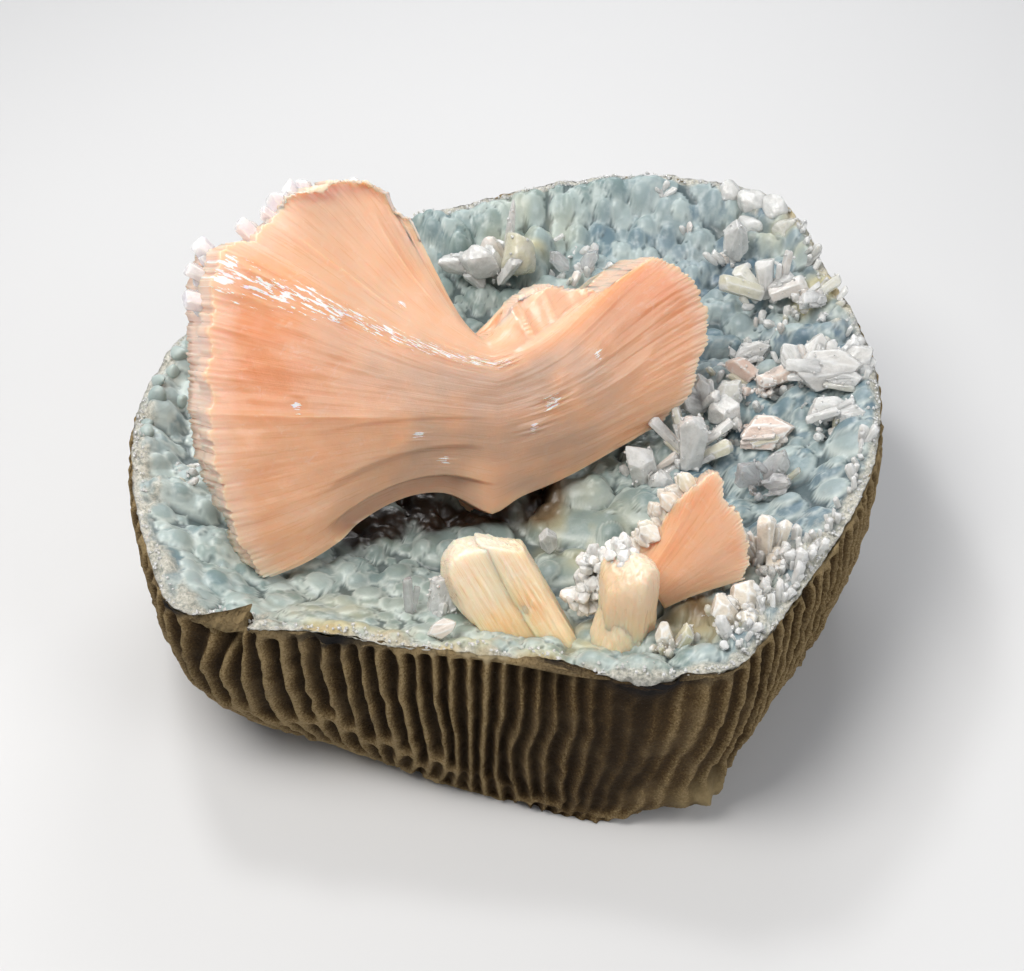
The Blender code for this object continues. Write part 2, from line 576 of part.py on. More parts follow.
def front_fan_body(material, collection):
    """The small fan, which spreads from its foot at the lower left to a brush of blades on the right."""
    right, up, out = FAN_PLANE
    bm = bmesh.new()
    loops = []
    for reach in FAN_STATIONS:
        loop = []
        for face in (1, -1):
            blades = range(FAN_BLADES + 1) if face > 0 else range(FAN_BLADES, -1, -1)
            for blade in blades:
                across = blade / FAN_BLADES
                start = Vector(FAN_WAIST[0]).lerp(Vector(FAN_WAIST[1]), across)
                flat = start.lerp(along_edge(FAN_EDGE, across), reach * (1 if blade % 2 else FAN_NOTCH))
                thick = from_table(FAN_HALF, across) * (0.8 + 0.3 * reach)
                point = FAN_FOOT + right * flat.x + up * flat.y + out * face * thick
                loop.append(bm.verts.new(point))
        loops.append(loop)
    for before, after in zip(loops, loops[1:]):
        bridge(bm, before, after)
    for loop in (loops[0], loops[-1]):
        for step in range(FAN_BLADES):
            last = len(loop) - 1
            bm.faces.new((loop[step], loop[step + 1], loop[last - step - 1], loop[last - step]))
    return add_object("fan_crystal", bm, material, collection)


def fan_crystal(materials, collection, helpers, seat):
    """The front fan with the cream column at its foot and the white crystals on its left side."""
    obj = front_fan_body(materials["peach"], collection)
    others = []
    for name, (foot, turns, sizes) in FAN_PIECES.items():
        place = lean_frame(foot, *turns)
        others.append(add_object(name, crystal_mesh(*sizes), materials["clear"], helpers, place))
    return fuse(obj, others, seat)


# Small crystals along the upper left edge of the bow-tie: where the tip is as (along, up) in its plane, its
# lean from straight up in degrees, length and width
EDGE_CRYSTALS = ((-50.4, 18.2, 72, 8.0, 3.4), (-47.4, 26.0, 52, 8.0, 3.2), (-40.4, 31.2, 46, 8.0, 2.8),
                 (-33.4, 36.0, 30, 8.0, 3.8), (-27.0, 38.2, 20, 8.0, 3.0))
EDGE_DEPTH = -2.0       # of their middle lines behind the plane
EDGE_TIP = 1.4

# Knobs that carry the bow-tie: middle, radius and rise
BOW_TIE_FEET = (("bow_tie_foot", (0.5, -7.5, 31.0), 8.5, 10.0),
                ("bow_tie_heel", (13.0, -4.0, 31.0), 5.0, 8.0))


def bow_tie(materials, collection, helpers, seat):
    obj = bow_tie_body(materials["peach"], collection)
    others = []
    for name, middle, radius, rise in BOW_TIE_FEET:
        others.append(add_object(name, root_mesh(radius, rise), materials["peach"], helpers,
                                 Matrix.Translation(middle)))
    for number, (along, up, lean, length, width) in enumerate(EDGE_CRYSTALS, 1):
        grows = Matrix.Rotation(math.radians(lean), 3, FACING) @ UPWARD
        start = WAIST + ALONG * along + UPWARD * up + FACING * EDGE_DEPTH - grows * length
        turn = grows.to_track_quat("Z", "Y").to_matrix().to_4x4()
        bm = crystal_mesh(length, width, width * 0.7, EDGE_TIP, 4)
        others.append(add_object(f"edge_crystal_{number}", bm, materials["clear"], helpers,
                                 Matrix.Translation(start) @ turn))
    return fuse(obj, others, seat)


def main():
    for obj in list(bpy.data.objects):
        bpy.data.objects.remove(obj)
    parts = new_collection("heulandite_on_chalcedony")
    helpers = new_collection("cutters")
    helpers.hide_render = True
    materials = {
        "rock": rgb("host_rock", (0.16, 0.11, 0.07), 0.9),
        "chalcedony": rgb("chalcedony", (0.42, 0.55, 0.60), 0.35),
        "peach": rgb("peach_crystal", (0.88, 0.55, 0.38), 0.35),
        "blush": rgb("blush_crystal", (0.90, 0.74, 0.66), 0.3),
        "clear": rgb("clear_crystal", (0.86, 0.88, 0.86), 0.2),
    }
    lumps = scatter_lumps()
    height = lining_height(lumps)
    host_rock(materials["rock"], parts)
    below = [ring(share, count) for share, count in INNER_RINGS]
    lining("chalcedony_crust", below, 0.0, lining_underside, materials["chalcedony"], parts, lumps)
    seat = as_helper(lining("seat_cutter", [], SEAT_GAP, lambda x, y: 0.0, materials["chalcedony"], helpers,
                            lumps))
    bow_tie(materials, parts, helpers, seat)
    block_crystal(materials, parts, helpers, seat)
    fan_crystal(materials, parts, helpers, seat)
    for name in GROUPS:
        crystal_group(name, materials, parts, helpers, seat, height)


main()
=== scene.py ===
"""Looks of a geode half with a bow-tie crystal on its blue chalcedony lining.

Everything is designed in millimetres, in the frame's axes, and made in metres.
"""
import math
import random
from collections import namedtuple

import bmesh
import bpy
import numpy as np
from mathutils import Matrix, Vector


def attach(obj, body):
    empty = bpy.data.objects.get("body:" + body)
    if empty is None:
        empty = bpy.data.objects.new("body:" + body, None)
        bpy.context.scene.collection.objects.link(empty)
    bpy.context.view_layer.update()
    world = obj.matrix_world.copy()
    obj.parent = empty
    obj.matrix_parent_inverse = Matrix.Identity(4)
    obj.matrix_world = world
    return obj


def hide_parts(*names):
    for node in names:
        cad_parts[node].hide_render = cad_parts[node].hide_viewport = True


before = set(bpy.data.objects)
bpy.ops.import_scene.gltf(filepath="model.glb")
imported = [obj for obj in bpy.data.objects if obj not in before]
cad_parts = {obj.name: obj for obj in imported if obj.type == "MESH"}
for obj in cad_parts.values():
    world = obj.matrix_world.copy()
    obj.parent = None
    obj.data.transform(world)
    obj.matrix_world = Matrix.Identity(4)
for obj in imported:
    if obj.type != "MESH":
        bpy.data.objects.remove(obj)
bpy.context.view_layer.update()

MM = 0.001
BODY = "root"


# Smooth noise for shapes

NOISE_CELLS = 32
NOISE_SHIFT = 7.31      # between the noises of two seeds
NOISE_TABLE = np.random.default_rng(5).uniform(-1.0, 1.0, (NOISE_CELLS,) * 3)
RANDOM_COUNT = 4096


def noise(points, size, seed=0):
    """Smooth noise from -1 to 1, with lumps about `size` across, at an array of points."""
    place = np.asarray(points, float) / size + seed * NOISE_SHIFT
    cell = np.floor(place).astype(int)
    part = place - cell
    part = part * part * (3 - 2 * part)
    total = 0.0
    for corner in np.ndindex(2, 2, 2):
        weight = np.prod(np.where(corner, part, 1 - part), axis=-1)
        index = (cell + corner) % NOISE_CELLS
        total = total + weight * NOISE_TABLE[index[..., 0], index[..., 1], index[..., 2]]
    return total


def fractal(points, size, octaves, seed=0):
    return sum(noise(points, size / 2 ** step, seed + step) * 0.5 ** step for step in range(octaves))


def layer(points, height, size, octaves, seed):
    """Fractal noise that is about `height` millimetres high."""
    return height * fractal(points, size, octaves, seed)


def stack(*columns):
    """Arrays of the same shape, or numbers, as points."""
    return np.stack(np.broadcast_arrays(*columns), axis=-1)


def strip_noise(value, seed):
    """Noise along a line, with waves about 1 long."""
    return noise(stack(value, 0.0, 0.0), 1.0, seed)


def smooth(value, low, high):
    """0 below low, 1 above high, and a smooth step between."""
    part = np.clip((value - low) / (high - low), 0.0, 1.0)
    return part * part * (3 - 2 * part)


def bump(value, middle, width):
    return np.exp(-((value - middle) / width) ** 2)


def random_steps(index, seed, low=0.0, high=1.0):
    """One random number for each whole number in an array."""
    table = np.random.default_rng(seed).uniform(low, high, RANDOM_COUNT)
    return table[np.asarray(index, int) % RANDOM_COUNT]


# Meshes and pieces

def in_scene(name, data):
    """A new object in the scene, with that data."""
    thing = bpy.data.objects.new(name, data)
    bpy.context.scene.collection.objects.link(thing)
    return thing


def mesh_piece(name, points, faces, material, attributes=None, smooth_shading=True):
    """A mesh object of points in millimetres, with float attributes on its points."""
    mesh = bpy.data.meshes.new(name)
    points = np.asarray(points, float).reshape(-1, 3)
    mesh.from_pydata((points * MM).tolist(), [], faces)
    mesh.update()
    for key, values in (attributes or {}).items():
        field = mesh.attributes.new(key, "FLOAT", "POINT")
        field.data.foreach_set("value", np.asarray(values, np.float32).ravel())
    if smooth_shading:
        mesh.shade_smooth()
    mesh.materials.append(material)
    return in_scene(name, mesh)


def keep(piece, slot, *nodes):
    """The piece rides on the body and stands for those nodes; slot is not used."""
    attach(piece, BODY)
    if nodes:
        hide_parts(*nodes)


def grid_faces(rows, columns, closed=False):
    """Quads between rows of vertices that are numbered row by row."""
    index = np.arange(rows * columns).reshape(rows, columns)
    if closed:
        index = np.hstack([index, index[:, :1]])
    quads = np.stack([index[:-1, :-1], index[:-1, 1:], index[1:, 1:], index[1:, :-1]], axis=-1)
    return quads.reshape(-1, 4).tolist()


def band_faces(upper, lower):
    """Quads between two closed loops of vertex numbers."""
    upper, lower = np.asarray(upper), np.asarray(lower)
    return np.stack([upper, np.roll(upper, -1), np.roll(lower, -1), lower], axis=-1).tolist()


def end_faces(rows, half):
    """Strips that close both ends of a row of loops, each of which runs up a front and down a back."""
    strips = []
    for first in (0, (rows - 1) * 2 * half):
        front = first + np.arange(half)
        back = first + 2 * half - 1 - np.arange(half)
        strips += np.stack([front[:-1], front[1:], back[1:], back[:-1]], axis=-1).tolist()
    return strips


def face_out(piece):
    """Turns the normals of a closed piece outwards."""
    bm = bmesh.new()
    bm.from_mesh(piece.data)
    bmesh.ops.recalc_face_normals(bm, faces=bm.faces)
    bm.to_mesh(piece.data)
    bm.free()
    return piece


# Materials

class Shader:
    """A Principled material and short names for the nodes that feed it."""

    def __init__(self, name, **values):
        self.material = bpy.data.materials.new(name)
        self.material.use_nodes = True
        self.tree = self.material.node_tree
        self.principled = self.tree.nodes["Principled BSDF"]
        self.output = self.tree.nodes["Material Output"]
        self.set(**values)

    def put(self, value, socket):
        """Links an output to a socket, or sets the socket to a colour or a number."""
        if hasattr(value, "links"):
            self.tree.links.new(value, socket)
        elif socket.type == "RGBA":
            socket.default_value = (*value, 1.0)
        else:
            socket.default_value = value

    def set(self, **values):
        for key, value in values.items():
            self.put(value, self.principled.inputs[key.replace("_", " ")])

    def node(self, kind, inputs=None, **settings):
        node = self.tree.nodes.new("ShaderNode" + kind)
        for key, value in settings.items():
            setattr(node, key, value)
        for key, value in (inputs or {}).items():
            self.put(value, node.inputs[key])
        return node

    def attribute(self, name):
        return self.node("Attribute", attribute_name=name).outputs["Fac"]

    def place(self, scale=(1.0, 1.0, 1.0)):
        """Object coordinates in millimetres, stretched by the scale."""
        coordinates = self.node("TexCoord").outputs["Object"]
        stretch = tuple(value / MM for value in scale)
        return self.node("VectorMath", {0: coordinates, 1: stretch}, operation="MULTIPLY").outputs[0]

    def vector(self, x, y, z=0.0):
        return self.node("CombineXYZ", {0: x, 1: y, 2: z}).outputs[0]

    def noise(self, place, scale, detail=4.0, roughness=0.55, distortion=0.0):
        inputs = {"Vector": place, "Scale": scale, "Detail": detail, "Roughness": roughness,
                  "Distortion": distortion}
        return self.node("TexNoise", inputs).outputs["Fac"]

    def cells(self, place, scale):
        return self.node("TexVoronoi", {"Vector": place, "Scale": scale}).outputs["Distance"]

    def maths(self, operation, a, b=0.0, clamp=False):
        return self.node("Math", {0: a, 1: b}, operation=operation, use_clamp=clamp).outputs[0]

    def plus(self, a, b):
        return self.maths("ADD", a, b)

    def times(self, a, b):
        return self.maths("MULTIPLY", a, b)

    def span(self, value, low, high, new_low=0.0, new_high=1.0):
        """Maps low..high to new_low..new_high, smoothly and clamped."""
        inputs = {"Value": value, "From Min": low, "From Max": high, "To Min": new_low, "To Max": new_high}
        return self.node("MapRange", inputs, interpolation_type="SMOOTHSTEP").outputs["Result"]

    def ramp(self, value, stops):
        node = self.node("ValToRGB", {"Fac": value})
        elements = node.color_ramp.elements
        while len(elements) < len(stops):
            elements.new(0.5)
        for element, (position, colour) in zip(elements, stops):
            element.position = position
            element.color = (*colour, 1.0)
        return node.outputs["Color"]

    def mix(self, share, a, b):
        """The colour a where share is 0, and b where it is 1."""
        node = self.node("Mix", {"Factor": share}, data_type="RGBA")
        self.put(a, node.inputs[6])
        self.put(b, node.inputs[7])
        return node.outputs[2]

    def bump(self, height, distance):
        """Bumps that are `distance` millimetres high."""
        self.set(Normal=self.node("Bump", {"Height": height, "Distance": distance * MM}).outputs["Normal"])


# From crest to groove bottom: the grooves' own olive-brown, darkening to near black as painted shade deep in
# them
GROOVE_COLOUR_AND_SHADE_RAMP = ((0.0, (0.46, 0.335, 0.165)), (0.22, (0.25, 0.168, 0.072)), (0.5, (0.095, 0.055, 0.018)),
               (0.95, (0.034, 0.018, 0.005)))
ROCK_PALE = (0.32, 0.23, 0.12)
ROCK_SPECK = (0.42, 0.36, 0.27)
ROCK_CREAM = (0.55, 0.44, 0.26)
SEAM_BLACK = (0.012, 0.011, 0.012)
SPUR_TAN = (0.40, 0.30, 0.15)


def rock_material():
    """Pale crests and grooves that darken to near black, partly their own colour and partly painted shade,
    with specks, a black seam and a tan spur.
    """
    shader = Shader("fluted_rock", Roughness=0.88, Specular_IOR_Level=0.25)
    place = shader.place()
    groove = shader.attribute("groove")
    grain = shader.noise(place, 2.6, 6.0, 0.7)
    crest = shader.plus(groove, shader.times(shader.maths("SUBTRACT", grain, 0.5), 1.3))
    colour = shader.ramp(crest, GROOVE_COLOUR_AND_SHADE_RAMP)
    patches = shader.noise(place, 0.16, 3.0)
    pale = shader.mix(shader.span(patches, 0.45, 0.7, 0.0, 0.4), colour, ROCK_PALE)
    pale = shader.mix(shader.maths("MULTIPLY", groove, 0.8, True), pale, colour)
    speck = shader.span(shader.noise(place, 5.0, 2.0), 0.70, 0.78)
    speckled = shader.mix(shader.times(speck, 0.5), pale, ROCK_SPECK)
    cream = shader.mix(shader.span(shader.attribute("cream"), 0.25, 0.6), speckled, ROCK_CREAM)
    streaks = shader.noise(shader.place((0.12, 0.12, 1.4)), 1.0, 5.0, 0.65, 0.6)
    black = shader.times(shader.attribute("top"), shader.span(streaks, 0.36, 0.46))
    layered = shader.mix(black, cream, SEAM_BLACK)
    shader.set(Base_Color=shader.mix(shader.attribute("spur"), layered, SPUR_TAN))
    pits = shader.times(shader.cells(place, 1.6), 0.5)
    shader.bump(shader.plus(shader.noise(place, 1.8, 8.0, 0.75), pits), 0.8)
    return shader.material


LINING_RAMP = ((0.28, (0.28, 0.345, 0.30)), (0.46, (0.215, 0.295, 0.29)), (0.62, (0.15, 0.23, 0.27)),
               (0.85, (0.10, 0.165, 0.23)))
SUGAR_RAMP = ((0.36, (0.34, 0.36, 0.32)), (0.5, (0.64, 0.62, 0.53)), (0.64, (0.88, 0.86, 0.78)))
LINING_PALE = (0.50, 0.58, 0.555)
LINING_CLOUD = (0.46, 0.54, 0.55)
LINING_RING = (0.68, 0.74, 0.70)
# Painted shade: the dark colour put in the creases between lumps
PAINTED_CREASE_SHADE = (0.05, 0.075, 0.08)
STAIN_YELLOW = (0.58, 0.52, 0.29)
# Brown of the stains, also used as painted shade under the small fan and the bow-tie
BROWN_STAIN_AND_SHADE = (0.16, 0.09, 0.035)
# Painted shadow: the near-black put on the lining under the bow-tie
PAINTED_SHADOW_DARK = (0.022, 0.012, 0.006)
RIM_CREAM = (0.62, 0.48, 0.22)


def lining_material():
    """Waxy blue-green lumps with pale rings, creases darkened by painted shade, stains (the brown ones
    partly painted shade), painted shadow under the bow-tie, and a sugary white edge.
    """
    shader = Shader("blue_chalcedony", Roughness=0.4, Subsurface_Weight=0.4, Subsurface_Scale=1.2 * MM,
                    Subsurface_Radius=(1.0, 1.0, 0.9), Coat_Weight=0.15, Coat_Roughness=0.2,
                    Specular_IOR_Level=0.4)
    place = shader.place()
    tint = shader.times(shader.noise(place, 0.055, 3.0, 0.6), 0.75)
    colour = shader.ramp(shader.plus(tint, shader.attribute("blue")), LINING_RAMP)
    colour = shader.mix(shader.span(shader.attribute("tone"), 0.2, 1.4, 0.0, 0.75), colour, LINING_PALE)
    milky = shader.noise(place, 0.5, 4.0, 0.6)
    colour = shader.mix(shader.span(milky, 0.48, 0.72, 0.0, 0.4), colour, LINING_CLOUD)
    for name, strength, other in (("ring", 0.55, LINING_RING), ("depth", 0.85, PAINTED_CREASE_SHADE),
                                  ("yellow", 0.75, STAIN_YELLOW), ("brown_and_shade", 0.85, BROWN_STAIN_AND_SHADE),
                                  ("painted_shadow", 1.0, PAINTED_SHADOW_DARK)):
        colour = shader.mix(shader.times(shader.attribute(name), strength), colour, other)
    rim = shader.attribute("rim")
    white = shader.ramp(shader.noise(place, 1.4, 6.0, 0.7), SUGAR_RAMP)
    cream = shader.mix(shader.times(shader.attribute("yellow"), 0.8), white, RIM_CREAM)
    shader.set(Base_Color=shader.mix(rim, colour, cream), Roughness=shader.span(rim, 0.0, 1.0, 0.38, 0.5))
    fine = shader.times(shader.noise(place, 0.9, 4.0, 0.6), 0.35)
    crust = shader.times(shader.noise(place, 2.0, 6.0, 0.75), shader.times(rim, 1.6))
    shader.bump(shader.plus(fine, crust), 0.35)
    return shader.material


PEACH_SHADE = (0.85, 0.75, 0.7)     # share of the deep colour in the dark streaks
# Brown of the murky mottling, also used as painted shade on the left fan's lower lip
MURK_AND_SHADE_BROWN = (0.50, 0.36, 0.28)
# Painted highlight: the white of the glints painted on the bow-tie
PAINTED_GLINT_WHITE = (1.0, 0.97, 0.94)
# Pearly crystals: their deep, plain, pale and tip colours, how many streaks, and how frosted they are
PEACH_LOOKS = {
    "peach": ((0.80, 0.335, 0.155), (0.83, 0.455, 0.26), (0.81, 0.53, 0.365), (0.88, 0.64, 0.50),
              150.0, 0.14),
    "cream": ((0.90, 0.42, 0.17), (0.89, 0.60, 0.33), (0.87, 0.71, 0.50), (0.95, 0.86, 0.73), 110.0, 0.5),
    "honey": ((0.80, 0.52, 0.26), (0.82, 0.61, 0.39), (0.84, 0.67, 0.48), (0.89, 0.77, 0.62), 18.0, 0.08),
}


def peach_material(name, deep, plain, pale, tip, streak_count, frost):
    """Pearly crystal that is faintly striped along its growth, from a deep colour to pale tips, with painted
    white glints, and murk that is partly painted shade.
    """
    shader = Shader(name, Subsurface_Weight=0.85, Subsurface_Scale=4.0 * MM,
                    Subsurface_Radius=(1.0, 0.5, 0.35),
                    Coat_Weight=0.25, Coat_Roughness=0.12, IOR=1.5)
    place = shader.place()
    across = shader.attribute("across")
    reach = shader.attribute("reach")
    streaks = striped(shader, across, reach, streak_count, 3.0, 5.0, 0.6)
    bands = striped(shader, across, reach, 0.1 * streak_count, 1.6, 4.0, 0.55, 4.0)
    clouds = shader.noise(place, 0.07, 5.0, 0.65)
    mottle = shader.maths("SUBTRACT", shader.plus(clouds, bands), 1.0)
    heat = shader.plus(shader.attribute("deep"), shader.times(mottle, 0.9))
    colour = shader.ramp(heat, ((0.0, pale), (0.42, plain), (0.95, deep)))
    spread = shader.span(shader.maths("ABSOLUTE", reach), 0.05, 0.6)
    lit = shader.times(shader.span(streaks, 0.50, 0.70, 0.0, frost), spread)
    colour = shader.mix(lit, colour, tip)
    dark = shader.times(shader.span(streaks, 0.45, 0.28, 0.0, 0.8 * frost), spread)
    colour = shader.mix(dark, colour, tuple(part * share for part, share in zip(deep, PEACH_SHADE)))
    wisps = shader.noise(shader.place((1.0, 1.0, 1.6)), 0.35, 6.0, 0.7, 0.8)
    colour = shader.mix(shader.span(wisps, 0.52, 0.74, 0.0, 0.4), colour, tip)
    colour = shader.mix(shader.attribute("tip"), colour, tip)
    colour = shader.mix(shader.times(shader.attribute("murk_and_shade"), 0.6), colour, MURK_AND_SHADE_BROWN)
    glint_flecks = striped(shader, across, reach, 150.0, 17.0, 3.0, 0.6)
    # Painted highlight: white glints where the glint field and its flecks are high
    painted_glint = shader.span(shader.plus(glint_flecks, shader.times(shader.attribute("painted_glint"), 0.33)), 0.83, 0.86)
    shader.set(Base_Color=shader.mix(painted_glint, colour, PAINTED_GLINT_WHITE),
               Roughness=shader.span(streaks, 0.3, 0.7, 0.24, 0.42))
    fine = shader.times(shader.noise(place, 1.0, 5.0, 0.65), 0.5)
    height = shader.plus(shader.times(streaks, 0.6), fine)
    shader.bump(shader.plus(height, shader.times(painted_glint, 1.5)), 0.09)
    return shader.material


def striped(shader, across, reach, count, waves, detail, roughness, shift=0.0):
    """Noise that is fine across a crystal and long along its growth."""
    place = shader.vector(shader.times(across, count), shader.times(reach, waves), shift)
    return shader.noise(place, 1.0, detail, roughness)


CLEAR_SHADE = 0.80                  # share of the colour in its darker clouds
CLEAR_CREAM = (0.80, 0.76, 0.52)
CLEAR_FROST = (0.96, 0.96, 0.94)
# Painted highlight: white along the crystals' edges, where light would catch them
PAINTED_EDGE_HIGHLIGHT = (0.97, 0.97, 0.95)
FOG_DENSITY = 20.0
# Clear to white crystals: their colour, transmission, the colour of the warmest ones, and what light keeps
# inside
CLEAR_LOOKS = {
    "clear": ((0.97, 0.97, 0.98), 0.7, (0.92, 0.80, 0.72), (0.85, 0.92, 0.95)),
    "blush": ((0.93, 0.78, 0.69), 0.1, (0.90, 0.66, 0.55), (0.95, 0.80, 0.72)),
    "milky": ((0.94, 0.945, 0.92), 0.25, (0.94, 0.80, 0.70), (0.85, 0.92, 0.95)),
    "frosty": ((0.94, 0.94, 0.91), 0.22, (0.92, 0.84, 0.72), (0.85, 0.92, 0.95)),
    "lilac": ((0.97, 0.94, 1.0), 0.08, (0.95, 0.90, 0.97), (0.92, 0.90, 0.95)),
    "snowy": ((0.96, 0.95, 0.90), 0.05, (0.95, 0.88, 0.76), (0.92, 0.93, 0.90)),
    "pearl": ((0.93, 0.85, 0.73), 0.06, (0.92, 0.72, 0.55), (0.95, 0.85, 0.75)),
}


def clear_material(name, colour, transmission, warm, absorb):
    """Glassy to milky crystal with painted white highlights along its edges; each one's tone makes it
    whiter, warmer or creamier.
    """
    shader = Shader(name, Roughness=0.14, Transmission_Weight=transmission, IOR=1.5, Subsurface_Weight=0.5,
                    Subsurface_Scale=1.2 * MM, Subsurface_Radius=(1.0, 0.95, 0.9), Coat_Weight=0.3,
                    Coat_Roughness=0.05)
    place = shader.place()
    tone = shader.attribute("tone")
    dim = tuple(CLEAR_SHADE * value for value in colour)
    mixed = shader.mix(shader.span(shader.noise(place, 0.45, 5.0, 0.65), 0.38, 0.66), dim, colour)
    mixed = shader.mix(shader.span(tone, 0.80, 1.0, 0.0, 0.7), mixed, warm)
    mixed = shader.mix(shader.span(tone, 0.22, 0.0, 0.0, 0.75), mixed, CLEAR_CREAM)
    lines = shader.noise(shader.place((1.0, 1.0, 0.5)), 1.4, 6.0, 0.75)
    mixed = shader.mix(shader.span(lines, 0.55, 0.68, 0.0, 0.6), mixed, CLEAR_FROST)
    # Painted highlight: the edges are painted white
    edge = shader.times(shader.attribute("edge"), 0.85)
    shader.set(Base_Color=shader.mix(edge, mixed, PAINTED_EDGE_HIGHLIGHT))
    shader.bump(shader.noise(place, 1.6, 5.0, 0.65), 0.16)
    fog = shader.node("VolumeAbsorption", {"Color": absorb, "Density": FOG_DENSITY})
    shader.tree.links.new(fog.outputs[0], shader.output.inputs["Volume"])
    return shader.material


def make_materials():
    """The materials by name; the lining's is shared by the lumps on its edge."""
    materials = {"rock": rock_material(), "lining": lining_material()}
    for name, look in PEACH_LOOKS.items():
        materials[name] = peach_material(name + "_crystal", *look)
    for name, look in CLEAR_LOOKS.items():
        materials[name] = clear_material(name + "_crystal", *look)
    return materials


# The outline of the geode

# The geode's outline, every 15 degrees from +X and anticlockwise seen from above
RIM_RADII = (65.5, 66.5, 68.5, 74.0, 68.0, 61.0, 55.0, 52.0, 52.0, 54.0, 56.5, 60.0,
             63.2, 65.3, 68.1, 71.7, 61.9, 59.1, 59.5, 65.5, 71.1, 66.1, 64.4, 64.7)
BASE_RADII = (54.0, 52.0, 52.0, 56.0, 52.0, 45.0, 39.0, 36.0, 36.0, 38.0, 40.0, 44.0,
              48.0, 54.0, 50.0, 45.0, 47.0, 50.0, 54.0, 61.0, 58.0, 52.0, 50.0, 52.0)
RIM_HEIGHT = 43.5
RIM_TILT = 4.0
BACK_RISE = 2.6             # the edge is higher at the back right
BACK_ANGLE = 60.0
BACK_WIDTH = 27.0
BACK_START = 0.8            # share of the radius where that rise starts
DISH_DEPTH = 13.0
DISH_POWER = 4.0
CRUST_MIDDLE = 4.0
ROCK_GAP = 0.15             # between the rock and the lining at the rim
NOTCH_ANGLE = 230.5         # the edge is broken back to here, and the rock shows in the gap
NOTCH_WIDTHS = (7.0, 2.4)
NOTCH_POWER = 1.3
NOTCH_DEPTH = 5.5
DIP_ANGLE = 288.5           # the lining's white edge hangs lower here
DIP_WIDTH = 3.0
DIP_DROP = 1.8
EDGE_THICKNESS = 0.9        # of the lining's white edge
EDGE_SLOPE = 0.7            # how much lower the top is at its very edge
EDGE_SLOPE_START = 0.96     # share of the radius
EDGE_SLOPE_WIDTH = 2.2
EDGE_INSET = 0.6
EDGE_INSET_LEAST = 0.1
# Noise round the outline is read on a circle of this radius, as are the points of the rock's wall
RING_RADIUS = 60.0
# Layers of noise: height in millimetres, size, octaves and seed
EDGE_RAGS = (0.3, 3.0, 3, 2)
EDGE_WAVES = (0.5, 5.0, 3, 12)
# How far the edge is inside the rim's outline: angle, width in degrees, millimetres
EDGE_BITES = ((277.0, 7.5, 2.4), (295.0, 3.0, 1.6), (262.0, 9.0, 0.8), (305.0, 5.0, 0.6))


def around(values, angle):
    """A smooth closed curve through values that are evenly spaced round the circle."""
    values = np.asarray(values)
    place = (angle / math.tau * len(values)) % len(values)
    index = np.floor(place).astype(int)
    part = place - index
    a, b, c, d = (values[(index + step) % len(values)] for step in (-1, 0, 1, 2))
    return b + 0.5 * part * (c - a + part * (2 * a - 5 * b + 4 * c - d + part * (3 * (b - c) + d - a)))


def polar(radius, angle):
    return radius * np.cos(angle), radius * np.sin(angle)


def ring_points(angle, up=0.0):
    return stack(*polar(RING_RADIUS, angle), up)


def degrees_past(angle, middle):
    """How many degrees an angle is past a middle, from -180 to 180."""
    return (np.degrees(angle) - middle + 180.0) % 360.0 - 180.0


def turned(angle, middle, width):
    """A soft bump round the circle, at a middle and of a width in degrees."""
    return np.exp(-(degrees_past(angle, middle) / width) ** 2)


def turned_sum(angle, places):
    """The sum of soft bumps: their middles, widths and heights."""
    return sum(height * turned(angle, middle, width) for middle, width, height in places)


def notch(angle):
    """The break in the edge at the front left: steep on its right side."""
    gap = degrees_past(angle, NOTCH_ANGLE)
    width = np.where(gap < 0, *NOTCH_WIDTHS)
    return np.clip(1 - np.abs(gap) / width, 0.0, 1.0) ** NOTCH_POWER


def edge_inset(angle):
    """How far the edge is inside the rim's outline, in millimetres."""
    ragged = EDGE_INSET + layer(ring_points(angle), *EDGE_RAGS)
    bites = turned_sum(angle, EDGE_BITES)
    return np.maximum(EDGE_INSET_LEAST, ragged + bites + NOTCH_DEPTH * notch(angle))


def edge_hang(angle):
    """How far the lining's edge hangs down below its usual thickness."""
    return layer(ring_points(angle), *EDGE_WAVES) + DIP_DROP * turned(angle, DIP_ANGLE, DIP_WIDTH)


def back_rise(angle):
    return BACK_RISE * turned(angle, BACK_ANGLE, BACK_WIDTH)


def rim_height(angle):
    return RIM_HEIGHT + RIM_TILT * np.sin(angle) + back_rise(angle)


def rim_share(x, y):
    """Share of the way to the rim, and the angle."""
    angle = np.arctan2(y, x)
    return np.minimum(1.0, np.hypot(x, y) / around(RIM_RADII, angle)), angle


def dish_height(x, y):
    share, angle = rim_share(x, y)
    dish = rim_height(angle) - DISH_DEPTH * (1 - share ** DISH_POWER)
    return dish - back_rise(angle) * (1 - smooth(share, BACK_START, 1.0))


def lining_underside(x, y):
    share, _ = rim_share(x, y)
    slope = EDGE_SLOPE * smooth(share, EDGE_SLOPE_START, 1.0)
    crust = (CRUST_MIDDLE - EDGE_THICKNESS) * (1 - share ** DISH_POWER)
    return dish_height(x, y) - slope - EDGE_THICKNESS - crust


def inside_rim(angle, inward):
    """Places (x, y) that are so far inside the ragged edge."""
    return stack(*polar(around(RIM_RADII, angle) - edge_inset(angle) - inward, angle))


# Chalcedony lining

LINING_CELLS = 256
LUMP_SEED = 11
LUMP_TRIES = 5000
LUMP_SMALL = (3.0, 5.2)
LUMP_BROAD = (5.4, 7.4)
LUMP_RISE = 0.6
LUMP_FLATTEN = 0.88
LUMP_SPACING = 0.78
LUMP_EDGE = 0.955
LUMP_FADE = 34              # power of the share of the radius: the lumps fade close to the edge
LUMP_TONE_SEED = 3
PLAIN_TONE = 0.3
BROAD_MIDDLE = (6.0, -26.0)
BROAD_REACH = 20.0
BACK_LUMPS = (12.0, 0.72, 0.76)     # behind this y and outside this share the lumps are so much smaller
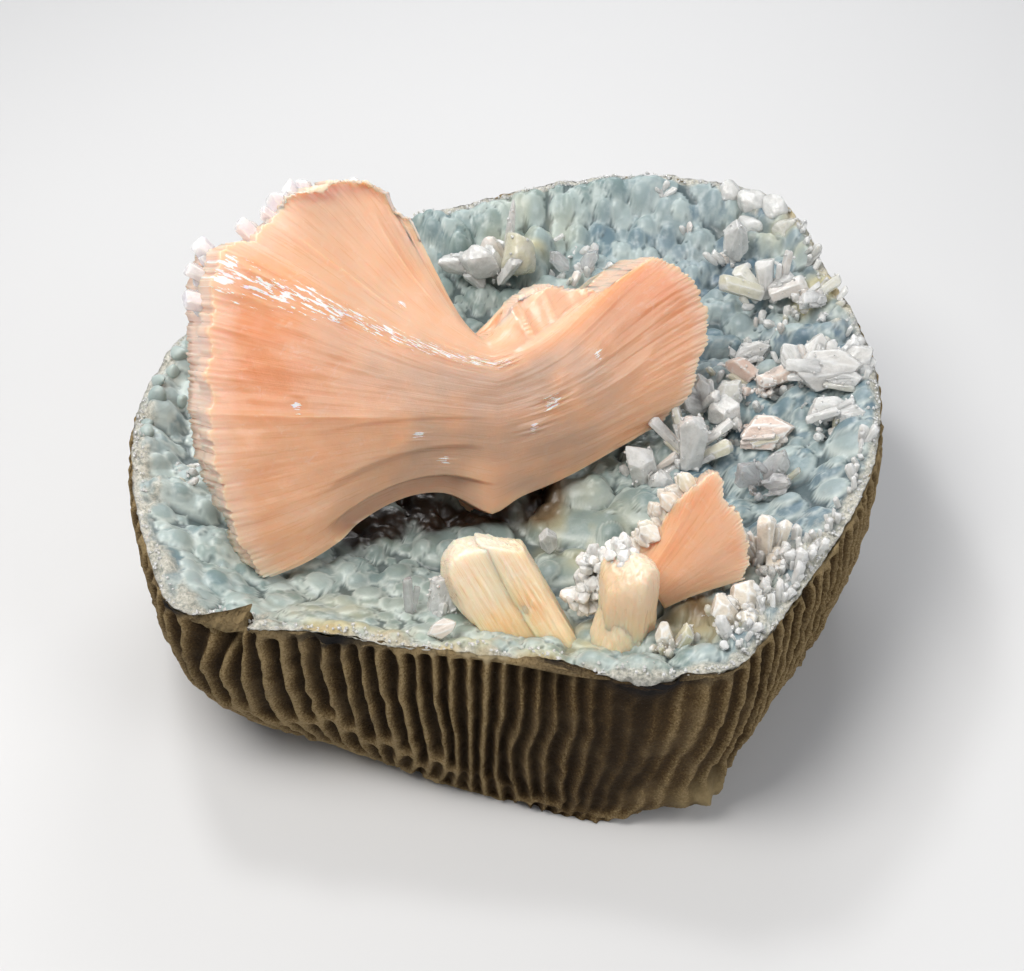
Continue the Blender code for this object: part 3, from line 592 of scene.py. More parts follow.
# Lumps with places of their own: x, y, radius, half length, compass and height
LONG_LUMPS = (
    (47.9, 43.4, 2.1, 2.2, -22, 3.6), (54.5, 18.8, 2.4, 4.6, -16, 3.6), (39.6, 31.0, 2.0, 2.0, -14, 2.8),
    (39.2, 21.6, 2.1, 2.4, -10, 2.8), (49.0, 49.0, 2.6, 2.0, -25, 2.8), (55.7, 41.0, 2.8, 2.4, -73, 3.2),
    (5.4, 43.0, 3.2, 2.6, 71, 5.0), (-12.0, 45.4, 3.4, 2.6, -21, 4.8), (-53.3, -21.2, 3.2, 2.6, -11, 3.4),
    (-59.0, -3.5, 3.2, 0.6, 0, 3.6), (-7.0, -21.8, 4.6, 4.5, 21, 3.0), (12.8, -18.6, 4.6, 4.6, -16, 3.2),
    (12.0, -28.4, 4.4, 3.0, 4, 2.6), (27.0, -16.1, 4.8, 4.6, -18, 2.8), (-14.0, -33.4, 4.6, 2.6, -14, 2.6),
    (12.6, -11.4, 3.6, 2.6, 0, 4.4),
)
BUBBLE_SEED = 23
BUBBLE_TRIES = 9000
BUBBLE_SIZES = (0.9, 2.7)
BUBBLE_SPACING = 0.72
BUBBLE_EDGE = 0.97
BUBBLE_RISE = 0.5
BUBBLE_LEAST = 0.02
BUBBLE_TONE_SEED = 4
SMOOTH_BAY = (46.0, -34.0, -9.0)    # few small lumps to the right of this x and between these y
SMOOTH_SHARE = 0.06
# The lumps are softer in this area: middle, then reach along x and y
CALM_AREA = (-16.0, -41.0, 27.0, 11.0)
CALM_SHARE = 0.5

# Places in the lining that are stained, and spots painted dark as shadow: x, y, radius
YELLOW_STAINS = ((-6.0, -59.0, 6.0), (5.0, -60.0, 6.0), (54.0, 47.0, 8.0), (57.4, 27.2, 5.0),
                 (5.0, 44.0, 7.0), (-25.0, -50.0, 8.0), (13.7, -47.5, 7.0), (33.0, -42.5, 7.5),
                 (14.0, -22.0, 7.0), (-40.0, 0.0, 5.0))
# Brown stains; the two at the front, under the small fan and under the bow-tie, are partly painted shade
BROWN_STAINS_AND_SHADE = ((32.5, -41.6, 5.0), (-15.5, 41.5, 3.0), (6.0, -13.5, 5.0))
# Painted shadow: dark spots on the lining under the bow-tie's lower edge, where its shade falls
PAINTED_SHADOW_SPOTS = ((-26.0, -20.5, 4.0), (-20.0, -19.5, 4.5), (-14.0, -16.5, 5.0), (-8.0, -14.5, 5.0),
                (-2.0, -13.0, 5.0), (3.0, -11.0, 4.0), (-14.0, -11.0, 8.0), (-24.0, -13.0, 6.0))
STAIN_AND_SHADOW_WAVES = (0.9, 6.0, 4, 9)
STAIN_AND_SHADOW_STRENGTH = 1.5
PAINTED_SHADOW_STRENGTH = 1.5

# How much bluer and paler the lining gets: amount, direction (x, y), and where along it that starts and ends
BLUE_FADES = ((0.28, (1, 0), 5.0, 45.0), (0.12, (0, 1), 0.0, 45.0), (-0.05, (-1, 0), 0.0, 40.0),
              (0.24, (-1, 0), 36.0, 52.0))
TONE_FADES = ((0.35, (-1, 0), 20.0, 55.0), (0.25, (0, 1), 5.0, 35.0))
LEFT_BACK_TONE = 0.35
RING_PLACE = (0.84, 0.13)           # share of a lump's radius, and width
# Where the painted crease shade starts and where it is full, as shares of a lump's radius
CREASE_PLACE = (0.93, 1.02)

# Where the white crust on the edge is wider: angle, width in degrees, millimetres
WIDE_CRUSTS = ((205.0, 38.0, 2.0), (317.0, 18.0, 4.0), (46.0, 9.0, 3.0), (12.0, 14.0, 1.6))
SLIM_CRUST = (95.0, 65.0, 0.5)      # and where it is narrower: angle, width, share
CRUST_GAPS = (3.2, 3, 31)
CRUST_RISE = 0.22
CRUST_FADE = 40
CRUST_GRAIN = (0.3, 1.1, 3, 8)
LINING_GRAIN = (0.10, 1.6, 3, 6)
EDGE_FACE = (0.30, 1.3, 3, 14)
EDGE_SHARES = (0.15, 0.35, 0.6, 0.85, 1.0)
UNDERSIDE_INWARD = (0.8, 3.0, 10.0, 22.0, 36.0)


def off_axis(lump, x, y):
    """Distance from the middle line of a lump."""
    a, b, _, half, compass, _ = lump
    dx, dy = x - a, y - b
    along = np.clip(dx * np.cos(compass) + dy * np.sin(compass), -half, half)
    return np.hypot(dx - along * np.cos(compass), dy - along * np.sin(compass))


def scatter_lumps():
    """All lumps as (x, y, radius, half length, compass, height): the long ones, then round ones."""
    draw = random.Random(LUMP_SEED)
    back_y, back_share, back_size = BACK_LUMPS
    table = np.array(LONG_LUMPS)
    table[:, 4] = np.radians(table[:, 4])
    for _ in range(LUMP_TRIES):
        angle = draw.uniform(0, math.tau)
        share = math.sqrt(draw.random()) * LUMP_EDGE
        x, y = polar(share * around(RIM_RADII, angle), angle)
        broad = math.dist((x, y), BROAD_MIDDLE) < BROAD_REACH
        size = draw.uniform(*(LUMP_BROAD if broad else LUMP_SMALL))
        size *= back_size if y > back_y and share > back_share else 1.0
        if (off_axis(table.T, x, y) > LUMP_SPACING * (size + table[:, 2])).all():
            table = np.vstack([table, (x, y, size, 0.0, 0.0, LUMP_RISE * size)])
    return table


def scatter_bubbles():
    """Small round lumps on the large ones, few in the smooth middle at the front."""
    draw = np.random.default_rng(BUBBLE_SEED)
    bay_x, bay_low, bay_high = SMOOTH_BAY
    table = np.zeros((0, 3))
    for _ in range(BUBBLE_TRIES):
        angle = draw.uniform(0, math.tau)
        x, y = polar(math.sqrt(draw.random()) * BUBBLE_EDGE * around(RIM_RADII, angle), angle)
        size = draw.uniform(*BUBBLE_SIZES)
        chance = draw.random()
        in_bay = x > bay_x and bay_low < y < bay_high
        smooth_floor = in_bay or math.dist((x, y), BROAD_MIDDLE) < BROAD_REACH
        if smooth_floor and chance > SMOOTH_SHARE:
            continue
        gaps = np.hypot(table[:, 0] - x, table[:, 1] - y)
        if (gaps > BUBBLE_SPACING * (table[:, 2] + size)).all():
            table = np.vstack([table, (x, y, size)])
    return table


def dome(away):
    """Height of half a ball at a share of its radius."""
    return np.sqrt(np.maximum(0.0, 1 - away * away))


def lining_fields(x, y, lumps, bubbles):
    """Height of the lumpy surface, how far each point is from the middle of its lump, and its tone."""
    large = np.zeros_like(x)
    gap = np.ones_like(x)
    tone = np.full_like(x, PLAIN_TONE)
    for number, lump in enumerate(lumps):
        away = off_axis(lump, x, y) / lump[2]
        rise = lump[5] * dome(away)
        higher = rise > large
        large = np.where(higher, rise, large)
        gap = np.where(higher, away, gap)
        tone = np.where(higher, random_steps(number, LUMP_TONE_SEED), tone)
    small = np.zeros_like(x)
    small_gap = np.ones_like(x)
    for number, (a, b, size) in enumerate(bubbles):
        near = (np.abs(x - a) < size) & (np.abs(y - b) < size)
        away = np.hypot(x[near] - a, y[near] - b) / size
        rise = BUBBLE_RISE * size * dome(away)
        higher = rise > small[near]
        small[near] = np.where(higher, rise, small[near])
        small_gap[near] = np.where(higher, away, small_gap[near])
        tone[near] = np.where(higher, random_steps(number, BUBBLE_TONE_SEED), tone[near])
    a, b, wide, deep = CALM_AREA
    calm = 1 - CALM_SHARE * np.exp(-((x - a) / wide) ** 4 - ((y - b) / deep) ** 4)
    gap = np.where(small > BUBBLE_LEAST, small_gap, gap)
    return (large * LUMP_FLATTEN + small) * calm, gap, tone


def height_finder(lumps, bubbles):
    """A function that gives the lining's height at points (x, y)."""
    def height(spots):
        x, y = np.asarray(spots, float).T
        rise, _, _ = lining_fields(x, y, lumps, bubbles)
        share, _ = rim_share(x, y)
        return dish_height(x, y) + rise * (1 - share ** LUMP_FADE)

    return height


def disc_grid(cells):
    """A square grid bent to a disc: share of the radius, and angle, for each of its points."""
    line = np.linspace(-1.0, 1.0, cells + 1)
    a, b = np.meshgrid(line, line, indexing="ij")
    wide = np.abs(a) > np.abs(b)
    safe_a = np.where(a == 0, 1.0, a)
    safe_b = np.where(b == 0, 1.0, b)
    radius = np.where(wide, a, b)
    turn = np.where(wide, math.pi / 4 * b / safe_a, math.pi / 2 - math.pi / 4 * a / safe_b)
    x, y = polar(radius, turn)
    return np.minimum(1.0, np.hypot(x, y)), np.arctan2(y, x)


def stain_and_shadow(x, y, places):
    """From 0 to 1, how much the points get of the listed places: stains, and also the spots of painted
    shadow.
    """
    total = np.zeros_like(x)
    for a, b, radius in places:
        total = np.maximum(total, np.exp(-((x - a) ** 2 + (y - b) ** 2) / radius ** 2))
    wave = 0.5 + layer(stack(x, y, 0.0), *STAIN_AND_SHADOW_WAVES)
    return np.clip(total * STAIN_AND_SHADOW_STRENGTH * wave, 0.0, 1.0)


def faded(x, y, fades):
    """The sum of amounts that grow smoothly along a direction."""
    return sum(amount * smooth(a * x + b * y, low, high) for amount, (a, b), low, high in fades)


def crust_fields(spot, angle, from_edge):
    """How much of the white crust there is, from 0 to 1, and how much wider it is here than usual."""
    crust = turned_sum(angle, WIDE_CRUSTS)
    wander = from_edge + (0.8 + 1.2 * crust) * fractal(spot, 4.0, 4, 4)
    slim_angle, slim_width, slim_share = SLIM_CRUST
    slim = 1 - slim_share * turned(angle, slim_angle, slim_width)
    rim = 1 - smooth(wander, slim * (0.7 + 0.7 * crust), slim * (2.0 + 1.5 * crust))
    gaps = smooth(fractal(spot, *CRUST_GAPS), 0.0, 0.3) * smooth(from_edge, 0.8, 1.6)
    return rim * (1 - 0.75 * gaps), crust


def lining_colours(x, y, tone, gap, rim):
    """The fields for the lining's material: bluer to the right and the back, paler to the left, with painted
    shadow under the bow-tie and painted shade in its creases.
    """
    left_back = smooth(-x, 38.0, 56.0) * smooth(y, -30.0, -5.0)
    ring = bump(gap, *RING_PLACE) * (1 - rim) * (1 - 0.55 * smooth(y, 0.0, 35.0))
    return {"tone": tone + faded(x, y, TONE_FADES) + LEFT_BACK_TONE * left_back,
            # depth is how far into the crease at a lump's edge a point is; it carries the painted crease
            # shade
            "ring": ring, "depth": smooth(gap, *CREASE_PLACE) * (1 - rim), "rim": rim,
            "blue": faded(x, y, BLUE_FADES),
            "yellow": stain_and_shadow(x, y, YELLOW_STAINS), "brown_and_shade": stain_and_shadow(x, y, BROWN_STAINS_AND_SHADE),
            "painted_shadow": np.clip(PAINTED_SHADOW_STRENGTH * stain_and_shadow(x, y, PAINTED_SHADOW_SPOTS), 0.0, 1.0)}


def chalcedony_lining(material, lumps, bubbles):
    share, angle = disc_grid(LINING_CELLS)
    side = LINING_CELLS + 1
    x, y = polar(share * (around(RIM_RADII, angle) - edge_inset(angle)), angle)
    rise, gap, tone = lining_fields(x, y, lumps, bubbles)
    from_edge = (1 - share) * around(RIM_RADII, angle)
    spot = stack(x, y, 0.0)
    rim, crust = crust_fields(spot, angle, from_edge)
    z = dish_height(x, y) + rise * (1 - share ** LUMP_FADE)
    z += rim * crust * CRUST_RISE * (1 - np.abs(noise(spot, 1.5, 7)) * 2) * (1 - share ** CRUST_FADE)
    z += layer(spot, *LINING_GRAIN) + rim * (layer(spot, *CRUST_GRAIN) - 0.1)
    z -= EDGE_SLOPE * smooth(from_edge, EDGE_SLOPE_WIDTH, 0.0)
    index = np.arange(side * side).reshape(side, side)
    loop = np.concatenate([index[:-1, 0], index[-1, :-1], index[:0:-1, -1], index[0, :0:-1]])
    points = stack(x, y, z).reshape(-1, 3)
    fields = lining_colours(x, y, tone, gap, rim)
    return close_lining(points, grid_faces(side, side), loop, fields, material)


def close_lining(points, faces, loop, fields, material):
    """Adds the lining's white edge and its underside to its top."""
    edge = points[loop]
    turn = np.arctan2(edge[:, 1], edge[:, 0])
    reach = np.hypot(edge[:, 0], edge[:, 1])
    drop = EDGE_THICKNESS + edge_hang(turn)
    added = []
    for share in EDGE_SHARES:
        ragged = layer(edge + [0, 0, -1.5 * share], *EDGE_FACE) - 0.12 - 0.4 * share ** 2
        added.append(stack(*polar(reach + ragged, turn), edge[:, 2] - drop * share))
    for inward in UNDERSIDE_INWARD:
        x, y = polar(np.maximum(reach - inward * reach / RING_RADIUS, 1.0), turn)
        added.append(stack(x, y, lining_underside(x, y) + (0.2 if inward == UNDERSIDE_INWARD[0] else 0.0)))
    count = len(loop)
    before = loop
    for number in range(len(added)):
        after = len(points) + number * count + np.arange(count)
        faces += band_faces(before, after)
        before = after
    faces.append(list(before))
    attributes = {}
    for key, values in fields.items():
        edge_value = 1.0 if key == "rim" else 0.0
        fill = [edge_value] * count * len(EDGE_SHARES) + [0.0] * count * len(UNDERSIDE_INWARD)
        attributes[key] = np.concatenate([values.ravel(), fill])
    points = np.vstack([points] + added)
    return face_out(mesh_piece("chalcedony_lining", points, faces, material, attributes))


# Host rock

ROCK_COLUMNS = 1206
ROCK_ROWS = 58
ROCK_ROW_POWER = 1.15       # the rows are closer together near the edge
ROCK_REACH = 40.0           # height that the noise sees from the edge to the base
RIB_COUNT = 134
RIB_HEIGHT = 0.95
RIB_START = 0.6
CREST_SHARE = 0.75
GROOVE_SHARE = 2.3
WORN_ANGLE = 290.0          # the flutes are worn off at this corner
WORN_WIDTH = 12.0
WORN_SHARE = 0.85
WORN_SLANT = 3.0
WORN_WAVES = 1.5
TIER_ANGLE = 240.0          # where the flutes end in a second tier of short pockets
TIER_WIDTH = 20.0
SPUR_ANGLE = 299.0
SPUR_WIDTH = 5.0
SPUR_HEIGHT = 5.5
SPUR_THICKNESS = 4.0
SPUR_REACH = 4.5
SPUR_WAVES = (0.8, 2.5, 3, 27)
# How the flutes wander sideways, in flutes, and how rough their skin is
RIB_RAGS = (0.10, 2.2, 3, 51)
ROCK_GRAIN = (0.42, 2.4, 4, 17)
ROCK_STEPS = (0.12, 1.4, 2, 19)
EDGE_LAYERS = (0.4, 1.0, 2, 21)
# Where the black seam under the lining shows, and where it is wider: angle, width, amount
BLACK_SEAMS = ((244.0, 9.0, 1.0), (278.0, 3.0, 1.0), (291.0, 9.0, 1.0), (222.0, 5.0, 1.0))
SEAM_WIDTH = 0.03
WIDE_SEAMS = ((244.0, 8.0, 0.03), (289.0, 8.0, 0.03))
SEAM_WAVES = (0.012, 3.0, 3, 29)
CREAM_PLACE = (264.0, 9.0)  # angle and width of the cream band under the lining
CREAM_STRENGTH = 1.2
CREAM_WAVES = (0.8, 4.0, 3, 25)
# The seat under the lining: how far its rows are inside the rim
SEAT_INWARD = (1.4, 5.5, 14.0, 28.0, 44.0)
BREAK_WAVES = (0.8, 2.2, 3, 71)
SEAT_GROOVE = 0.35


def pockets(column, part, depth):
    """How deep a flute's groove is, from 0 to 1: a tall pocket, and a short one under it."""
    wide = random_steps(column, 31, 0.9, 2.2)
    across = np.sin(np.pi * np.clip(part, 0.0, 1.0)) ** wide
    start = random_steps(column, 32, 0.0, 0.02)
    tiered = turned(column / RIB_COUNT * math.tau, TIER_ANGLE, TIER_WIDTH)
    stop = random_steps(column // 3, 33, 0.60, 0.82) + random_steps(column, 34, -0.05, 0.05) - 0.40 * tiered
    end = np.minimum(stop + random_steps(column, 35, 0.22, 0.4), 1.02)
    tall = smooth(depth, start, start + 0.022) * (1 - smooth(depth, stop - 0.05, stop + 0.03))
    short = smooth(depth, stop + 0.02, stop + 0.09) * (1 - smooth(depth, end - 0.08, end + 0.02))
    joined = random_steps(column // 2, 36) < 0.45 - 0.4 * tiered
    bridge = np.where(joined, 0.75, 0.1) * bump(depth, stop, 0.06)
    return across * np.clip(tall + 0.8 * short + bridge, 0.0, 1.0)


def flute_grooves(angle, depth, spot, worn):
    """The depth of the grooves, from 0 to 1, of flutes that meander down the wall."""
    meander = 0.55 * noise(spot, 16.0, 3) + 0.22 * noise(spot, 6.0, 5)
    slant = WORN_SLANT * depth * worn
    steps = angle / math.tau * RIB_COUNT + meander + layer(spot, *RIB_RAGS) + slant + RIB_START
    column = np.floor(steps).astype(int) % RIB_COUNT
    return pockets(column, steps - np.floor(steps), depth)


def rock_relief(angle, depth, height, spot, groove, worn, broad):
    """How far the flutes, waves and grains stand out from the plain wall."""
    strength = RIB_HEIGHT * (1 - WORN_SHARE * worn)
    relief = CREST_SHARE * strength * smooth(depth, 0.0, 0.03) - GROOVE_SHARE * strength * groove
    relief += WORN_WAVES * (broad - 0.5) * worn * smooth(depth, 0.0, 0.1)
    relief += layer(spot, *ROCK_GRAIN) * (1 - 0.5 * groove) - 0.3 * smooth(depth, 0.04, 0.0)
    layered = stack(*polar(RING_RADIUS / 5, angle), height * 2.2)
    return relief + layer(layered, *EDGE_LAYERS) * (1 - smooth(depth, 0.01, 0.035))


def rock_colours(angle, depth, spot, groove, worn, broad, spur):
    """The fields for the rock's material."""
    width = SEAM_WIDTH + turned_sum(angle, WIDE_SEAMS)
    below = 1 - smooth(depth + layer(spot, *SEAM_WAVES), 0.3 * width, width)
    seam = np.clip(turned_sum(angle, BLACK_SEAMS), 0.0, 1.0)
    cream = CREAM_STRENGTH * turned(angle, *CREAM_PLACE) * (1 - smooth(depth, 0.02, 0.04))
    return {"groove": groove * (1 - 0.6 * worn) + worn * (0.14 + 0.5 * smooth(-broad, -0.5, 0.5)),
            "top": below * seam, "cream": cream * (0.7 + layer(spot, *CREAM_WAVES)),
            "spur": np.clip(spur * (0.9 + layer(spot, *SPUR_WAVES)), 0.0, 1.0)}


def host_rock(material):
    turns = np.linspace(0.0, math.tau, ROCK_COLUMNS, endpoint=False)
    angle, depth = np.meshgrid(turns, np.linspace(0.0, 1.0, ROCK_ROWS) ** ROCK_ROW_POWER)
    spot = ring_points(angle, depth * ROCK_REACH)
    worn = turned(angle, WORN_ANGLE, WORN_WIDTH)
    groove = flute_grooves(angle, depth, spot, worn)
    broad = noise(stack(angle * 60 / 8.0 + depth * 3.0, depth * 2.0, 0.0), 1.0, 61)
    down = depth * math.pi / 2
    top = rim_height(angle) - EDGE_SLOPE - EDGE_THICKNESS - ROCK_GAP - edge_hang(angle) + 0.9 * notch(angle)
    height = top * (1 - np.sin(down))
    outer = around(RIM_RADII, angle) - (edge_inset(angle) - 0.3) * (1 - smooth(depth, 0.0, 0.22))
    base = around(BASE_RADII, angle)
    spur = bump(height, SPUR_HEIGHT, SPUR_THICKNESS) * turned(angle, SPUR_ANGLE, SPUR_WIDTH)
    radius = base + (outer - base) * np.cos(down) + SPUR_REACH * spur
    radius = radius + rock_relief(angle, depth, height, spot, groove, worn, broad)
    x, y = polar(np.minimum(radius, around(RIM_RADII, angle) + 0.4), angle)
    z = np.where(depth >= 1.0, 0.0, np.maximum(height + layer(spot, *ROCK_STEPS), 0.02))
    fields = rock_colours(angle, depth, spot, groove, worn, broad, spur)
    return close_rock(stack(x, y, z), fields, turns, top[0], material)


def close_rock(wall, fields, turn, top, material):
    """Adds the seat under the lining and the flat base to the wall."""
    rows, count = wall.shape[:2]
    points = [wall.reshape(-1, 3)]
    faces = grid_faces(rows, count, closed=True)
    rim = around(RIM_RADII, turn)
    before = np.arange(count)
    for number, inward in enumerate(SEAT_INWARD):
        x, y = polar(np.maximum(rim - inward * rim / RING_RADIUS, 1.0), turn)
        z = lining_underside(x, y) - 2 * ROCK_GAP
        if number == 0:
            z = np.minimum(z, top + 0.3)
        if number < 2:
            z -= np.abs(layer(stack(x, y, 0.0), *BREAK_WAVES)) * (notch(turn) > 0)
        points.append(stack(x, y, z))
        after = (rows + number) * count + np.arange(count)
        faces += band_faces(before, after)
        before = after
    faces.append(list(before))
    faces.append(list((rows - 1) * count + np.arange(count)))
    attributes = {}
    for key, values in fields.items():
        seat = np.tile(SEAT_GROOVE * values[0], len(SEAT_INWARD))
        attributes[key] = np.concatenate([values.ravel(), seat])
    return face_out(mesh_piece("fluted_rock", np.vstack(points), faces, material, attributes))


# Bow-tie crystal

# The plane that the bow-tie spreads in, and its outline there as (along, up)
WAIST = Vector((-4.2, -8.4, 46.0))
ALONG = Vector((0.928, 0.297, -0.223)).normalized()
UPWARD = Vector((0.0, 0.6, 0.8))
FACING = ALONG.cross(UPWARD).normalized()
LEFT_EDGE = ((-36.4, -26.3), (-38.8, -26.6), (-40.7, -24.9), (-42.4, -22.2), (-45.4, -15.2), (-48.4, -7.0),
             (-49.4, 1.0), (-49.0, 10.0), (-49.0, 17.0), (-48.6, 21.4), (-46.6, 26.6), (-43.0, 27.8),
             (-40.2, 28.0), (-38.9, 30.4), (-35.0, 32.6), (-33.6, 35.4), (-30.4, 37.0), (-24.4, 38.3),
             (-19.6, 38.2), (-16.2, 36.8), (-15.2, 33.8), (-12.4, 32.6), (-10.8, 29.6))
RIGHT_EDGE = ((31.6, -4.0), (37.0, 1.2), (39.8, 7.0), (41.0, 12.0), (40.4, 17.6), (38.0, 22.0),
              (34.8, 25.0), (30.4, 26.8), (27.0, 25.0), (23.8, 22.2), (21.2, 20.8), (16.6, 21.8),
              (13.2, 22.2), (10.6, 20.8), (7.0, 19.0), (5.6, 17.0), (4.6, 13.6))
WAIST_LINE = ((1.6, -15.6), (-0.3, 12.3))
WAIST_MIDDLE = 0.5 * (np.array(WAIST_LINE[0]) + np.array(WAIST_LINE[1]))
WAIST_CROWDING = 1.8
TOOTH_DROP = 2.0            # of the point under the waist
TOOTH_WIDTH = 0.09
ARCH_PEAK = 6.75            # makes the arch's share of the reach 1 at its highest
LEAVE_SHARE = 0.42
LEAVE_FADE = 0.6
BEND_PLACE = 0.6
BEND_PULL = 0.2
# Half thicknesses, from the lower side of a fan (0) to its upper side (1)
LEFT_FRONT = ((0.0, 0.5), (0.1, 4.5), (0.28, 8.0), (0.54, 8.5), (0.64, 4.5), (0.70, 0.0), (0.76, -2.2),
              (0.86, -2.2), (1.0, -1.0))
LEFT_BACK = ((0.0, 3.0), (0.2, 7.5), (0.5, 9.5), (0.8, 8.0), (1.0, 4.0))
WAIST_FRONT = ((0.0, 1.5), (0.3, 7.0), (0.58, 8.0), (0.85, 4.5), (1.0, 0.5))
WAIST_BACK = ((0.0, 5.0), (0.3, 7.5), (0.7, 7.5), (1.0, 4.0))
RIGHT_FRONT = ((0.0, 1.5), (0.15, 5.0), (0.45, 7.0), (0.7, 4.5), (1.0, 0.5))
RIGHT_BACK = ((0.0, 3.0), (0.3, 7.0), (0.7, 6.5), (1.0, 3.0))
WAIST_HALVES = {1: WAIST_FRONT, -1: WAIST_BACK}
CORNER_STEPS = (-0.04, -0.02, 0.0, 0.02, 0.04)
# A fan: its side, outline, blades, first seed, lobes and folds in millimetres, arch of its lower side, half
# thicknesses of its front and its back, and where its colour is deepest (across, width, reach, width)
Fan = namedtuple("Fan", "side edge blades seed lobes folds arch halves deepest")
LEFT_FAN = Fan(-1, LEFT_EDGE, 118, 41, 1.0, 0.5, 3.4, {1: LEFT_FRONT, -1: LEFT_BACK},
               (0.42, 0.12, 0.80, 0.28))
RIGHT_FAN = Fan(1, RIGHT_EDGE, 70, 43, 1.5, 0.25, 0.4, {1: RIGHT_FRONT, -1: RIGHT_BACK},
                (0.45, 0.16, 0.85, 0.25))
FAN_COLUMNS = 350
LEFT_ROWS = 58
RIGHT_ROWS = 44
FAN_ROW_POWER = 1.5         # the rows are closer together near the tips
TIP_LOOPS = (0.35, 0.7, 0.92)
# Fine ridges: how many across, height, and waves along the reach
STRIAE = ((36.0, 0.50, 2.2), (100.0, 0.42, 3.0), (230.0, 0.22, 5.0))
FRONT_LIP = 2.2
LEAF_DROP = 2.0
# Steps in the front of the left fan: height, place across, how that place falls with the reach, and width
SHEETS = ((0.9, 0.21, 0.12, (-0.006, 0.02)), (0.3, 0.33, 0.1, (0.0, 0.015)))
FAN_SWELLS = (0.5, 12.0, 2, 41)
FAN_GRAIN = (0.07, 2.0, 2, 45)
MURK_WAVES = (0.9, 6.0, 3, 3)
# The band on the front's ridge with stepped flakes and painted white glints, and how high its flakes are
RIDGE_ACROSS = 0.53
RIDGE_BEND = 0.115
RIDGE_WIDTH = 0.052
FLAKE_HEIGHT = 0.4
FLAKE_STEPS = 2.5
# Small glints on the front, painted white over stepped flakes: across, reach (left is negative) and size
SPARKLES = ((0.34, 0.22, 0.055), (0.26, 0.14, 0.035), (0.42, 0.48, 0.030), (0.14, -0.16, 0.030),
            (0.33, -0.72, 0.025), (0.25, -0.26, 0.030), (0.72, -0.45, 0.025), (0.62, 0.86, 0.035))


def along_edge(edge, share):
    """The points at those shares of an open outline's length."""
    points = np.asarray(edge, float)
    lengths = np.concatenate([[0.0], np.cumsum(np.hypot(*np.diff(points, axis=0).T))])
    place = share * lengths[-1]
    return np.interp(place, lengths, points[:, 0]), np.interp(place, lengths, points[:, 1])


def from_table(table, place):
    """Reads a table with its corners rounded a little."""
    places, values = np.array(table).T
    total = sum(np.interp(np.clip(place + step, 0.0, 1.0), places, values) for step in CORNER_STEPS)
    return total / len(CORNER_STEPS)


def fan_line(fan, across, reach):
    """Where the blade at `across` of a fan is, from the waist (reach 0) to its tip (reach 1)."""
    low, high = WAIST_LINE
    share = 1 - (1 - across) ** WAIST_CROWDING
    start = [low[axis] + (high[axis] - low[axis]) * share for axis in (0, 1)]
    end = along_edge(fan.edge, across)
    length = np.hypot(end[0] - start[0], end[1] - start[1])
    left = 1 - reach
    result = []
    for axis in (0, 1):
        leave = start[axis]
        if axis == 0:
            leave = leave + fan.side * LEAVE_SHARE * length * (1 - LEAVE_FADE * across)
        middle = start[axis] + BEND_PLACE * (end[axis] - start[axis])
        leave = leave + BEND_PULL * (middle - leave)
        curve = start[axis] * left ** 3 + leave * 3 * reach * left ** 2
        result.append(curve + middle * 3 * reach ** 2 * left + end[axis] * reach ** 3)
    arch = fan.arch * ARCH_PEAK * reach * left ** 2 * (1 - across) ** 4
    tooth = TOOTH_DROP * bump(reach, 0.0, TOOTH_WIDTH) * (1 - across) ** 8
    return result[0], result[1] + arch - tooth


def striae(across, reach, seed):
    """Fine ridges that run along the blades."""
    total = 0.0
    for count, size, stretch in STRIAE:
        total = total + size * noise(stack(across * count, reach * stretch, count), 1.0, seed)
    return total


def blade_steps(across, blades):
    """Counts the blades across a fan, some wider than others."""
    wander = 1.3 * strip_noise(across * blades / 3.4, 57)
    return across * blades + wander + 0.5 * strip_noise(across * blades / 1.3, 58)


def tip_offset(across, blades, seed, lobes):
    """How far each blade's tip is from the fan's edge, in millimetres: rounded lobes of fine teeth."""
    steps = blade_steps(across, blades)
    part = steps - np.floor(steps)
    own = random_steps(np.floor(steps), seed, -0.4, 0.2)
    wide = lobes * strip_noise(across * blades / 9.0, seed)
    wide += 0.6 * lobes * strip_noise(across * blades / 4.0, seed + 1)
    return np.minimum(0.25, own + wide - 0.6) - 0.35 * np.abs(2 * part - 1) ** 3


def back_leaf(across, reach):
    """From 0 to 1, where the right fan's upper left leaf stands behind the rest."""
    return smooth(across, 0.665, 0.70) * (1 - smooth(across, 0.90, 1.0)) * smooth(reach, 0.12, 0.4)


def lower_lip(across, reach):
    """From 0 to 1, where the left fan's underside shows below its front sheet."""
    line = 0.085 - 0.04 * reach
    below = 1 - smooth(across, line - 0.006, line + 0.006)
    return below * smooth(reach, 0.0, 0.1) * (1 - smooth(reach, 0.58, 0.72))


def front_folds(fan, across, reach):
    """Steps and creases in the front of a fan, in millimetres."""
    if fan is RIGHT_FAN:
        low = smooth(across, 0.20, 0.14 - 0.05 * reach) * smooth(reach, 0.1, 0.3)
        return -LEAF_DROP * back_leaf(across, reach) - 0.4 * low
    steps = 0.0
    for height, start, fall, (before, after) in SHEETS:
        line = start - fall * reach
        steps = steps + height * (smooth(across, line + before, line + after) - 1)
    fade = (1 - smooth(reach, 0.5, 0.72)) * smooth(reach, 0.02, 0.12)
    return steps * fade - FRONT_LIP * lower_lip(across, reach)


